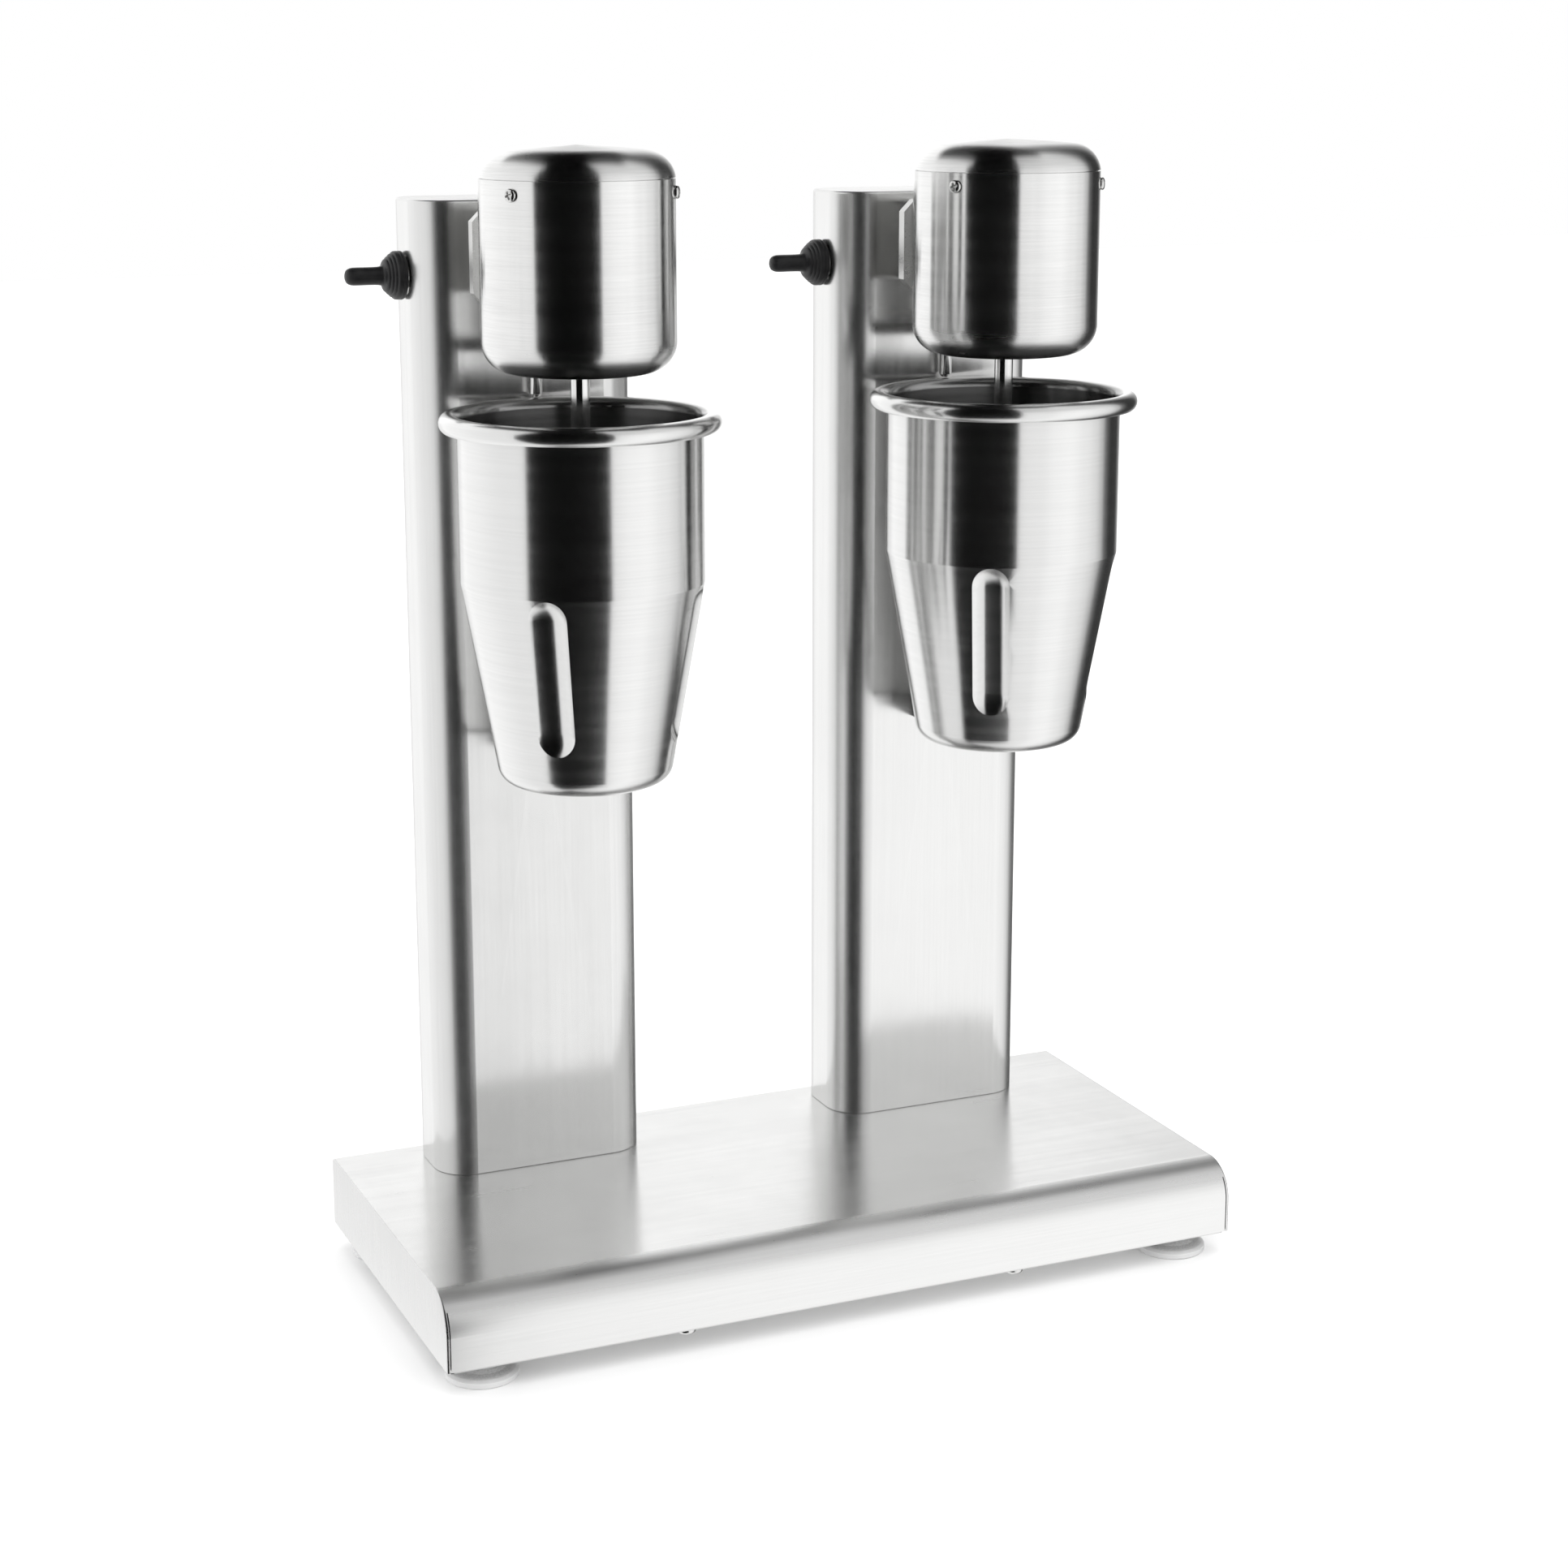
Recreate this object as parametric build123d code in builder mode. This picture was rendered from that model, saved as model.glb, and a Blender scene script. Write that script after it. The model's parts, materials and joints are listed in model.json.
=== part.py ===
from build123d import *
from math import atan2, cos, radians, sin
import os

os.makedirs("parts", exist_ok=True)

# ---------------------------------------------------------------------------
# Driving dimensions, in millimetres. Z is up, -Y is the front, the origin is
# on the worktop under the middle of the machine.
# ---------------------------------------------------------------------------
sheet = 1.2
running_gap = 0.05
seat_gap = 0.3

# Base
base_width = 370
base_depth = 174
base_height = 31
foot_height = 9.8
bottom_plate_thickness = 1.2
base_front_bend = 16
base_small_bend = 2
base_end_bend = 1
base_lip = 12
seam_inset = 1.6
seam_width = 0.5
seam_height = 25
seam_depth = 4.2
cable_hole_radius = 9
gland_flange = 1.5
gland_flange_radius = 8.5
gland_radius = 6.2
gland_length = 9
gland_nut_radius = 8
gland_nut_thickness = 2.5
gland_bore_radius = 3.6
terminal_length = 50
terminal_depth = 20
terminal_height = 14
terminal_pitch = (12, 10)
terminal_hole_radius = 2.6
terminal_hole_depth = 5
bottom_plate_margin = 1.5
foot_radius = 15.5
foot_recess_radius = 8
foot_recess_depth = 1.2
foot_tread_radius = 10
foot_rim_top = 2.6
foot_stem_radius = 9
foot_counterbore = 3
foot_inset_x = 20
foot_inset_y = 17
base_screw_spacing = 156
base_screw_length = 6

# Column
unit_spacing = 195
column_width = 97
column_depth = 46
column_top = 474
column_corner = 16
column_foot_plate = 3
column_inset = 0.5
column_top_bend = 1
column_foot_bend = 0.6
neck_cable_radius = 7
column_bolt_grid = (70, 22)

# Head and spindle
spindle_to_column = 61
head_radius = 40
head_bottom = 407
head_seam = 485
head_seam_gap = 0.4
head_top = 498
head_bottom_bend = 13
cap_crown_radius = 28
cap_crown_drop = 1.2
cap_spigot_bottom = 474.5
cap_spigot_rise = 3.6
cap_screw_height = 479.5
cap_screw_angles = (-150, -30, 90)
shaft_radius = 4
shaft_bottom = 250
shaft_top = 491.5
shaft_chamfer = 0.6
seal_hole_radius = 9
seal_flange_radius = 10.5
seal_flange_thickness = 1.2
seal_depth = 1.8

# Neck
neck_flange_width = 73
neck_flange_height = 39
neck_flange_front = 25
neck_flange_thickness = 5
neck_flange_chamfer = 5
neck_web_width = 60
neck_web_thickness = 6
neck_width = 40
neck_height = 37
neck_corner = 3
neck_middle = 452.5
neck_room_width = 24
neck_room_height = 31
neck_room_front = 43
neck_rib_bottom = 449
neck_rib_thickness = 2
wire_hole_height = 466
wire_hole_radius = 3

# Cup
cup_bottom = 236
cup_rim = 391
cup_wall = 0.8
cup_radius = 50.7
cup_foot_radius = 35.6
cup_shoulder = 321
cup_foot_bend = 8
cup_shoulder_bend = 60
rim_bead = 4.1
rim_curl_sweep = 235
flute_radius = 13.2
flute_depth = 3.4
flute_bottom = 263
flute_top = 312
flute_angles = (53, 143, 233, 323)
# how far each cup stands turned about its spindle
cup_turns = {"left": 0, "right": 4.5}

# Cup rest and plunger
rest_width = 24
rest_thickness = 2
rest_front = 22
rest_flange_top = 263
rest_front_corner = 6
rest_top_corner = 4
rest_screw_heights = (246, 256.5)
rest_screw_length = 8
plunger_offset = 56
plunger_radius = 2.75
plunger_collar_radius = 4.5
plunger_collar_bottom = 440.5
plunger_collar_height = 2
plunger_stem_radius = 2
plunger_cam_bottom = 455.5
plunger_cam_height = 4.5
plunger_top = 462
plunger_tip_chamfer = 0.9
spring_wire = 0.35
spring_radius = 3.4
spring_turns = 3
microswitch_width = 5.8
microswitch_depth = 6.4
microswitch_height = 12.8
microswitch_offset = 8.7
microswitch_bottom = 451.6
microswitch_button_height = 458

# Toggle switch
toggle_height = 442
toggle_bushing_radius = 6
toggle_bore_radius = 4.6
toggle_bushing_length = 6
toggle_pivot = 1
toggle_ball_radius = 3.4
toggle_pin_radius = 0.9
toggle_pin_length = 8.6
lever_root_radius = 2
lever_tip_radius = 1.8
switch_body_width = 14
switch_body_height = 27
switch_body_depth = 22
switch_bore_depth = 8
switch_tag_pitch = 9
switch_tag_width = 5
switch_tag_thickness = 1
switch_tag_length = 6
switch_washer_radius = 8.6
switch_washer_thickness = 1
switch_nut_radius = 8
switch_nut_thickness = 2
boot_radius = 9.8
boot_sleeve_radius = 3.35
boot_sleeve_start = 9.6
boot_tip = 25.2

# Motor
stack_bottom = 430
stack_height = 32
stator_radius = 38.5
stator_ring_inner = 32
pole_shoe_radius = 25.5
pole_shoe_reach = 12
pole_neck_width = 16
bore_radius = 20.5
armature_radius = 19.9
armature_slots = 12
bearing_radius = 11
bearing_width = 7
lower_bearing_bottom = 409
upper_bearing_bottom = 484
commutator_radius = 11
commutator_bottom = 469.5
commutator_height = 10.5
bracket_thickness = 2.5
bracket_leg_offset = 34.5
bracket_leg_width = 3
bracket_leg_depth = 12
bracket_vent_ring = 25
bracket_vent_radius = 6
bearing_seat_wall = 2
coil_gap = 0.3
coil_thickness = 5.2
coil_overhang = 6
coil_corner = 5
brush_width = 6
brush_length = 16
brush_height = 8
brush_clearance = 0.3
holder_wall = 1.4
holder_length = 18
holder_offset = 22
holder_height = 11.5
winding_radius = 16
winding_height = 5.5
winding_bend = 3
slot_depth = 4.5
slot_width = 1.8
segment_slot_width = 0.5
segment_slot_depth = 1
fan_bottom = 417.5
fan_hub_radius = 8
fan_radius = 24
fan_blades = 9
fan_blade_thickness = 1.2
fan_blade_height = 5
fan_disc_height = 1

# Agitator
agitator_radius = 15
agitator_thickness = 1.6
agitator_height = 4
agitator_notches = 6
agitator_notch_ring = 15.5
agitator_notch_radius = 3.2
agitator_hub_radius = 6.5
agitator_hub_start = 1
agitator_hub_height = 8
agitator_bump_ring = 10.5
agitator_bump_radius = 2.2
agitator_bump_height = 3
agitator_bend = 1.5

# Fasteners
m5_radius = 2.45
m5_head_radius = 4.25
m5_head_height = 5
m5_length = 10
m4_radius = 1.95
m4_head_radius = 3.9
m4_head_height = 2.4
housing_screw_head_radius = 3.5
housing_screw_head_height = 1.7
housing_screw_seat = 35.3
m3_radius = 1.45
m3_head_radius = 2.75
m3_head_height = 1.9
m3_length = 3
cross_slot_length = 3
cross_slot_width = 0.7
cross_slot_depth = 1.1
tight_hole = 0.05

# ---------------------------------------------------------------------------
# Places worked out from the driving dimensions
# ---------------------------------------------------------------------------
base_bottom = foot_height + bottom_plate_thickness
base_top = base_bottom + base_height
base_front_y = -(base_depth + gland_flange) / 2
base_back_y = base_front_y + base_depth
base_middle_y = (base_front_y + base_back_y) / 2
gland_height = base_bottom + base_height / 2
foot_grid = (base_width - 2 * foot_inset_x, base_depth - 2 * foot_inset_y)
column_back_y = base_back_y - column_inset
column_front_y = column_back_y - column_depth
column_middle_y = (column_front_y + column_back_y) / 2
spindle_y = column_front_y - spindle_to_column
toggle_y = column_middle_y
units = (("left", -unit_spacing / 2), ("right", unit_spacing / 2))
neck_bolt_places = [(dx, neck_middle + dz) for dx in (-16, 16) for dz in (-11.5, 11.5)]
housing_screw_places = [(-8, wire_hole_height), (8, wire_hole_height)]


def level(x, height):
    """Horizontal plane on a unit's spindle axis at a height."""
    return Plane(origin=(x, spindle_y, height))


def upright(x, offset=0.0):
    """Vertical plane that faces the front, a distance behind the spindle axis."""
    return Plane(origin=(x, spindle_y + offset, 0), x_dir=(1, 0, 0), z_dir=(0, -1, 0))


def spindle_axis(x):
    return Axis((x, spindle_y, 0), (0, 0, 1))


def switch_side(x):
    """X of the column's left side face, where the toggle switch sits."""
    return x - column_width / 2


def switch_level(x, out=0.0):
    """Plane across the toggle switch, a distance out from the column's side."""
    return Plane(origin=(switch_side(x) - out, toggle_y, toggle_height), x_dir=(0, 1, 0), z_dir=(-1, 0, 0))


def switch_profile(x):
    """Plane along the toggle switch: local X is the radius and local Y points outwards."""
    return Plane(origin=(switch_side(x), toggle_y, toggle_height), x_dir=(0, 1, 0), z_dir=(0, 0, 1))


def switch_axis(x):
    return Axis((switch_side(x), toggle_y, toggle_height), (-1, 0, 0))


def polar(x, radius, angle, height):
    """A point at a radius and angle about a unit's spindle axis."""
    return (x + radius * cos(radians(angle)), spindle_y + radius * sin(radians(angle)), height)


# ---------------------------------------------------------------------------
# Base
# ---------------------------------------------------------------------------
with BuildPart() as base_shell:
    with BuildSketch(Plane.XY.offset(base_bottom)):
        with Locations((0, base_middle_y)):
            Rectangle(base_width, base_depth)
    extrude(amount=base_height)
    top_edges = base_shell.faces().sort_by(Axis.Z)[-1].edges()
    fillet(top_edges.sort_by(Axis.Y)[0], radius=base_front_bend)
    back_top_edge = base_shell.faces().sort_by(Axis.Z)[-1].edges().sort_by(Axis.Y)[-1]
    fillet(back_top_edge, radius=base_small_bend)
    for end in (0, -1):
        end_edges = base_shell.faces().sort_by(Axis.X)[end].edges()
        fillet(end_edges.filter_by(lambda e: e.center().Z > base_bottom + 1), radius=base_end_bend)
    offset(amount=-sheet, openings=base_shell.faces().sort_by(Axis.Z)[0])
    # inward lip that the bottom plate is screwed to
    with BuildSketch(Plane.XY.offset(base_bottom)):
        with Locations((0, base_middle_y)):
            Rectangle(base_width - sheet, base_depth - sheet)
            Rectangle(base_width - 2 * base_lip, base_depth - 2 * base_lip, mode=Mode.SUBTRACT)
    extrude(amount=sheet)
    # holes for the column bolts and for the wires that go up each column
    with BuildSketch(Plane.XY.offset(base_top)):
        for _, x in units:
            with Locations((x, column_middle_y)):
                Circle(cable_hole_radius)
                with GridLocations(*column_bolt_grid, 2, 2):
                    Circle(m5_radius + tight_hole)
    extrude(amount=-2 * sheet, mode=Mode.SUBTRACT)
    # screw holes in the lip
    with BuildSketch(Plane.XY.offset(base_bottom)):
        with Locations((0, base_middle_y)):
            with GridLocations(base_screw_spacing, base_depth - base_lip, 2, 2):
                Circle(m4_radius + tight_hole)
    extrude(amount=2 * sheet, mode=Mode.SUBTRACT)
    # open seams where the front sheet meets the two end flaps
    with BuildSketch(Plane.XZ.offset(-base_front_y)):
        for side in (-1, 1):
            with Locations((side * (base_width / 2 - seam_inset), base_bottom + seam_height / 2)):
                Rectangle(seam_width, seam_height)
    extrude(amount=-seam_depth, mode=Mode.SUBTRACT)
    # cord gland hole in the back
    with BuildSketch(Plane.XZ.offset(-base_back_y)):
        with Locations((0, gland_height)):
            Circle(gland_radius + 2 * tight_hole)
    extrude(amount=2 * sheet, mode=Mode.SUBTRACT)

base_shell.part.label = "base_shell"
export_step(base_shell.part, "parts/base_shell.step")

with BuildPart() as bottom_plate:
    with BuildSketch(Plane.XY.offset(foot_height)):
        with Locations((0, base_middle_y)):
            RectangleRounded(base_width - 2 * bottom_plate_margin, base_depth - 2 * bottom_plate_margin, 2)
            with GridLocations(*foot_grid, 2, 2):
                Circle(m4_radius + tight_hole, mode=Mode.SUBTRACT)
            with GridLocations(base_screw_spacing, base_depth - base_lip, 2, 2):
                Circle(m4_radius + tight_hole, mode=Mode.SUBTRACT)
    extrude(amount=bottom_plate_thickness)

bottom_plate.part.label = "bottom_plate"
export_step(bottom_plate.part, "parts/bottom_plate.step")

with BuildPart() as base_screws:
    with BuildSketch(Plane.XY.offset(foot_height)):
        with Locations((0, base_middle_y)):
            with GridLocations(base_screw_spacing, base_depth - base_lip, 2, 2):
                Circle(m4_head_radius)
    extrude(amount=-m4_head_height)
    fillet(base_screws.faces().filter_by(Axis.Z).group_by(Axis.Z)[0].edges(), radius=1.2)
    with BuildSketch(Plane.XY.offset(foot_height)):
        with Locations((0, base_middle_y)):
            with GridLocations(base_screw_spacing, base_depth - base_lip, 2, 2):
                Circle(m4_radius)
    extrude(amount=base_screw_length)

base_screws.part.label = "base_screws"
export_step(base_screws.part, "parts/base_screws.step")

with BuildPart() as feet:
    for side_x in (-1, 1):
        for side_y in (-1, 1):
            foot_x = side_x * foot_grid[0] / 2
            foot_y = base_middle_y + side_y * foot_grid[1] / 2
            with BuildSketch(Plane(origin=(foot_x, foot_y, 0), x_dir=(1, 0, 0), z_dir=(0, -1, 0))):
                with BuildLine():
                    Polyline(
                        (0, foot_recess_depth), (foot_recess_radius, foot_recess_depth),
                        (foot_tread_radius, 0),
                        (foot_radius - 0.6, 0), (foot_radius, 0.6), (foot_radius, foot_rim_top),
                        (foot_radius - 1.5, foot_rim_top + 1), (foot_stem_radius + 1.5, foot_rim_top + 2),
                        (foot_stem_radius, foot_rim_top + 3.6), (foot_stem_radius, foot_height),
                        (m4_radius + tight_hole, foot_height), (m4_radius + tight_hole, foot_counterbore),
                        (0, foot_counterbore), (0, foot_recess_depth),
                    )
                make_face()
            revolve(axis=Axis((foot_x, foot_y, 0), (0, 0, 1)))

feet.part.label = "feet"
export_step(feet.part, "parts/feet.step")

with BuildPart() as foot_screws:
    with BuildSketch(Plane.XY.offset(base_bottom)):
        with Locations((0, base_middle_y)):
            with GridLocations(*foot_grid, 2, 2):
                Circle(m4_head_radius)
    extrude(amount=m4_head_height)
    with BuildSketch(Plane.XY.offset(base_bottom)):
        with Locations((0, base_middle_y)):
            with GridLocations(*foot_grid, 2, 2):
                Circle(m4_radius)
    extrude(amount=foot_counterbore + 0.2 - base_bottom)

foot_screws.part.label = "foot_screws"
export_step(foot_screws.part, "parts/foot_screws.step")

with BuildPart() as terminal_block:
    with BuildSketch(Plane.XY.offset(base_bottom)):
        Rectangle(terminal_length, terminal_depth)
    extrude(amount=terminal_height)
    with BuildSketch(Plane.XY.offset(base_bottom + terminal_height)):
        with GridLocations(*terminal_pitch, 4, 2):
            Circle(terminal_hole_radius)
    extrude(amount=-terminal_hole_depth, mode=Mode.SUBTRACT)
    fillet(terminal_block.edges().filter_by(Axis.Z).group_by(Axis.Y)[0], radius=2)

terminal_block.part.label = "terminal_block"
export_step(terminal_block.part, "parts/terminal_block.step")

with BuildPart() as cord_gland:
    with BuildSketch(Plane.XZ.offset(-base_back_y)):
        with Locations((0, gland_height)):
            Circle(gland_flange_radius)
    extrude(amount=-gland_flange)
    with BuildSketch(Plane.XZ.offset(-base_back_y)):
        with Locations((0, gland_height)):
            Circle(gland_radius)
    extrude(amount=gland_length)
    with BuildSketch(Plane.XZ.offset(-base_back_y + sheet)):
        with Locations((0, gland_height)):
            Circle(gland_nut_radius)
    extrude(amount=gland_nut_thickness)
    with BuildSketch(Plane.XZ.offset(-base_back_y - gland_flange)):
        with Locations((0, gland_height)):
            Circle(gland_bore_radius)
    extrude(amount=gland_length + 2 * gland_flange, mode=Mode.SUBTRACT)

cord_gland.part.label = "cord_gland"
export_step(cord_gland.part, "parts/cord_gland.step")

# ---------------------------------------------------------------------------
# Column, neck and cup rest of each unit
# ---------------------------------------------------------------------------
for side, x in units:
    column_center = Plane(origin=(x, column_middle_y, base_top))
    with BuildPart() as column:
        with BuildSketch(column_center):
            RectangleRounded(column_width, column_depth, column_corner)
        extrude(amount=column_top - base_top)
        fillet(column.faces().sort_by(Axis.Z)[-1].edges(), radius=column_top_bend)
        fillet(column.faces().sort_by(Axis.Z)[0].edges(), radius=column_foot_bend)
        with BuildSketch(column_center.offset(column_foot_plate)):
            RectangleRounded(column_width - 2 * sheet, column_depth - 2 * sheet, column_corner - sheet)
        extrude(amount=column_top - base_top - column_foot_plate - sheet, mode=Mode.SUBTRACT)
        # foot plate: bolt holes and wire hole
        with BuildSketch(column_center):
            Circle(cable_hole_radius)
            with GridLocations(*column_bolt_grid, 2, 2):
                Circle(m5_radius + tight_hole)
        extrude(amount=column_foot_plate, mode=Mode.SUBTRACT)
        # front wall: neck bolts, wires to the head, cup rest screws
        with BuildSketch(upright(x, spindle_to_column)):
            with Locations(*neck_bolt_places):
                Circle(m5_radius + tight_hole)
            with Locations((0, neck_middle)):
                Circle(neck_cable_radius)
            with Locations(*[(0, height) for height in rest_screw_heights]):
                Circle(m4_radius + tight_hole)
        extrude(amount=-2 * sheet, mode=Mode.SUBTRACT)
        # side wall: toggle switch bushing
        with BuildSketch(switch_level(x)):
            Circle(toggle_bushing_radius + tight_hole)
        extrude(amount=-2 * sheet, mode=Mode.SUBTRACT)

    column.part.label = f"{side}_column"
    export_step(column.part, f"parts/{side}_column.step")

    with BuildPart() as neck:
        with BuildSketch(upright(x, neck_flange_front)):
            with Locations((0, neck_middle)):
                flange = Rectangle(neck_flange_width, neck_flange_height)
            chamfer(flange.vertices(), length=neck_flange_chamfer)
        extrude(amount=-neck_flange_thickness)
        with BuildSketch(upright(x, neck_flange_front + neck_flange_thickness)):
            with Locations((0, neck_middle)):
                RectangleRounded(neck_web_width, neck_height, neck_corner)
        extrude(amount=-neck_web_thickness)
        with BuildSketch(upright(x, neck_flange_front + neck_flange_thickness)):
            with Locations((0, neck_middle)):
                RectangleRounded(neck_width, neck_height, neck_corner)
        extrude(amount=neck_flange_front + neck_flange_thickness - spindle_to_column)
        # room for the plunger and the microswitch, open to the column
        with BuildSketch(upright(x, spindle_to_column)):
            with Locations((0, neck_middle)):
                Rectangle(neck_room_width, neck_room_height)
        extrude(amount=spindle_to_column - neck_room_front, mode=Mode.SUBTRACT)
        # rib that the plunger spring pushes against
        with BuildSketch(level(x, neck_rib_bottom)):
            with Locations((0, (neck_room_front + spindle_to_column) / 2)):
                Rectangle(neck_room_width, spindle_to_column - neck_room_front)
        extrude(amount=neck_rib_thickness)
        # saddle for the round housing
        with BuildSketch(level(x, neck_middle - neck_flange_height)):
            Circle(head_radius)
        extrude(amount=2 * neck_flange_height, mode=Mode.SUBTRACT)
        # plunger guides through the floor and the rib
        with BuildSketch(level(x, neck_middle - neck_flange_height)):
            with Locations((0, plunger_offset)):
                Circle(plunger_radius + running_gap)
        extrude(amount=neck_flange_height - neck_room_height / 2 + 0.5, mode=Mode.SUBTRACT)
        with BuildSketch(level(x, neck_rib_bottom)):
            with Locations((0, plunger_offset)):
                Circle(plunger_stem_radius + running_gap)
        extrude(amount=neck_rib_thickness, mode=Mode.SUBTRACT)
        # threaded holes for the column bolts, from behind
        with BuildSketch(upright(x, spindle_to_column)):
            with Locations(*neck_bolt_places):
                Circle(m5_radius + tight_hole)
        extrude(amount=m5_length, mode=Mode.SUBTRACT)
        # housing screws and wires
        with BuildSketch(upright(x, neck_flange_front)):
            with Locations(*housing_screw_places):
                Circle(m4_radius + tight_hole)
            with Locations((0, wire_hole_height)):
                Circle(wire_hole_radius)
        extrude(amount=neck_flange_front - neck_room_front - 1, mode=Mode.SUBTRACT)

    neck.part.label = f"{side}_neck"
    export_step(neck.part, f"parts/{side}_neck.step")

    with BuildPart() as cup_rest:
        with BuildSketch(level(x, cup_bottom - seat_gap - rest_thickness)):
            with Locations((0, (rest_front + spindle_to_column) / 2)):
                tongue = Rectangle(rest_width, spindle_to_column - rest_front)
            fillet(tongue.vertices().group_by(Axis.Y)[0], radius=rest_front_corner)
        extrude(amount=rest_thickness)
        with BuildSketch(upright(x, spindle_to_column - rest_thickness)):
            with Locations((0, (rest_flange_top + cup_bottom - seat_gap - rest_thickness) / 2)):
                flange = Rectangle(rest_width, rest_flange_top - cup_bottom + seat_gap + rest_thickness)
            fillet(flange.vertices().group_by(Axis.Y)[-1], radius=rest_top_corner)
        extrude(amount=-rest_thickness)
        with BuildSketch(upright(x, spindle_to_column - rest_thickness)):
            with Locations(*[(0, height) for height in rest_screw_heights]):
                Circle(m4_radius + tight_hole)
        extrude(amount=-rest_thickness, mode=Mode.SUBTRACT)

    cup_rest.part.label = f"{side}_cup_rest"
    export_step(cup_rest.part, f"parts/{side}_cup_rest.step")

# ---------------------------------------------------------------------------
# Motor head of each unit
# ---------------------------------------------------------------------------
def cap_form(x, inset):
    """Solid form of the domed cap, drawn in from the outside by inset."""
    top = head_top - inset
    edge = cap_crown_radius - inset / 4
    rim = head_seam + head_seam_gap
    with BuildPart() as form:
        with BuildSketch(upright(x)):
            with BuildLine():
                crown = ThreePointArc(
                    (0, top), (edge / 2, top - cap_crown_drop / 4), (edge, top - cap_crown_drop)
                )
                shoulder = TangentArc(crown @ 1, (head_radius - inset, rim), tangent=crown % 1)
                Polyline(shoulder @ 1, (0, rim), (0, top))
            make_face()
        revolve(axis=spindle_axis(x))
    return form.part


for side, x in units:
    with BuildPart() as motor_housing:
        with BuildSketch(upright(x)) as can_profile:
            with Locations((0, head_bottom)):
                Rectangle(head_radius, head_seam - head_bottom, align=(Align.MIN, Align.MIN))
            fillet(can_profile.vertices().group_by(Axis.Y)[0].sort_by(Axis.X)[-1], radius=head_bottom_bend)
        revolve(axis=spindle_axis(x))
        offset(amount=-sheet, openings=motor_housing.faces().sort_by(Axis.Z)[-1])
        # seat for the lower bearing, and the hole for the shaft seal
        with BuildSketch(level(x, head_bottom + sheet)):
            Circle(bearing_radius + bearing_seat_wall)
        extrude(amount=lower_bearing_bottom + bearing_width - head_bottom - sheet)
        with BuildSketch(level(x, lower_bearing_bottom)):
            Circle(bearing_radius)
        extrude(amount=bearing_width, mode=Mode.SUBTRACT)
        with BuildSketch(level(x, head_bottom)):
            Circle(seal_hole_radius)
        extrude(amount=lower_bearing_bottom - head_bottom, mode=Mode.SUBTRACT)
        # holes in the back wall for the neck, and the cap screw holes
        with BuildSketch(upright(x, head_radius)):
            with Locations(*housing_screw_places):
                Circle(m4_radius + tight_hole)
            with Locations((0, wire_hole_height)):
                Circle(wire_hole_radius)
        extrude(amount=6, mode=Mode.SUBTRACT)
        for angle in cap_screw_angles:
            outwards = (cos(radians(angle)), sin(radians(angle)), 0)
            with BuildSketch(Plane(origin=polar(x, head_radius, angle, cap_screw_height), z_dir=outwards)):
                Circle(m3_radius + tight_hole)
            extrude(amount=-m3_length - 1, mode=Mode.SUBTRACT)

    motor_housing.part.label = f"{side}_motor_housing"
    export_step(motor_housing.part, f"parts/{side}_motor_housing.step")

    with BuildPart() as housing_cap:
        add(cap_form(x, 0))
        add(cap_form(x, sheet), mode=Mode.SUBTRACT)
        # spigot that slides into the can and takes the cap screws
        with BuildSketch(level(x, cap_spigot_bottom)):
            Circle(head_radius - sheet - running_gap)
            Circle(head_radius - 2 * sheet - running_gap, mode=Mode.SUBTRACT)
        extrude(amount=head_seam + cap_spigot_rise - cap_spigot_bottom)
        for angle in cap_screw_angles:
            outwards = (cos(radians(angle)), sin(radians(angle)), 0)
            with BuildSketch(Plane(origin=polar(x, head_radius, angle, cap_screw_height), z_dir=outwards)):
                Circle(m3_radius + tight_hole)
            extrude(amount=-m3_length - 1, mode=Mode.SUBTRACT)

    housing_cap.part.label = f"{side}_housing_cap"
    export_step(housing_cap.part, f"parts/{side}_housing_cap.step")

    with BuildPart() as stator:
        with BuildSketch(level(x, stack_bottom)):
            Circle(pole_shoe_radius)
            Rectangle(2 * pole_shoe_reach, 2 * pole_shoe_radius, mode=Mode.SUBTRACT)
            Circle(stator_radius)
            Circle(stator_ring_inner, mode=Mode.SUBTRACT)
            Circle(pole_shoe_radius)
            Rectangle(2 * pole_shoe_reach, 2 * pole_shoe_radius, mode=Mode.SUBTRACT)
            Rectangle(2 * stator_ring_inner + 1, pole_neck_width)
            Circle(bore_radius, mode=Mode.SUBTRACT)
        extrude(amount=stack_height)

    stator.part.label = f"{side}_stator"
    export_step(stator.part, f"parts/{side}_stator.step")

    with BuildPart() as field_coils:
        stack_middle = stack_bottom + stack_height / 2
        for direction in (-1, 1):
            coil_start = Plane(
                origin=(x + direction * (pole_shoe_radius + coil_gap), spindle_y, stack_middle),
                x_dir=(0, 1, 0),
                z_dir=(direction, 0, 0),
            )
            with BuildSketch(coil_start):
                RectangleRounded(
                    pole_neck_width + 2 * coil_overhang + 1, stack_height + 2 * coil_overhang, coil_corner
                )
                Rectangle(pole_neck_width + 2 * coil_gap, stack_height + 2 * coil_gap, mode=Mode.SUBTRACT)
            extrude(amount=coil_thickness)
        with BuildSketch(level(x, stack_bottom - 10)):
            Circle(stator_ring_inner - 0.2)
        extrude(amount=stack_height + 20, mode=Mode.INTERSECT)

    field_coils.part.label = f"{side}_field_coils"
    export_step(field_coils.part, f"parts/{side}_field_coils.step")

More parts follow.
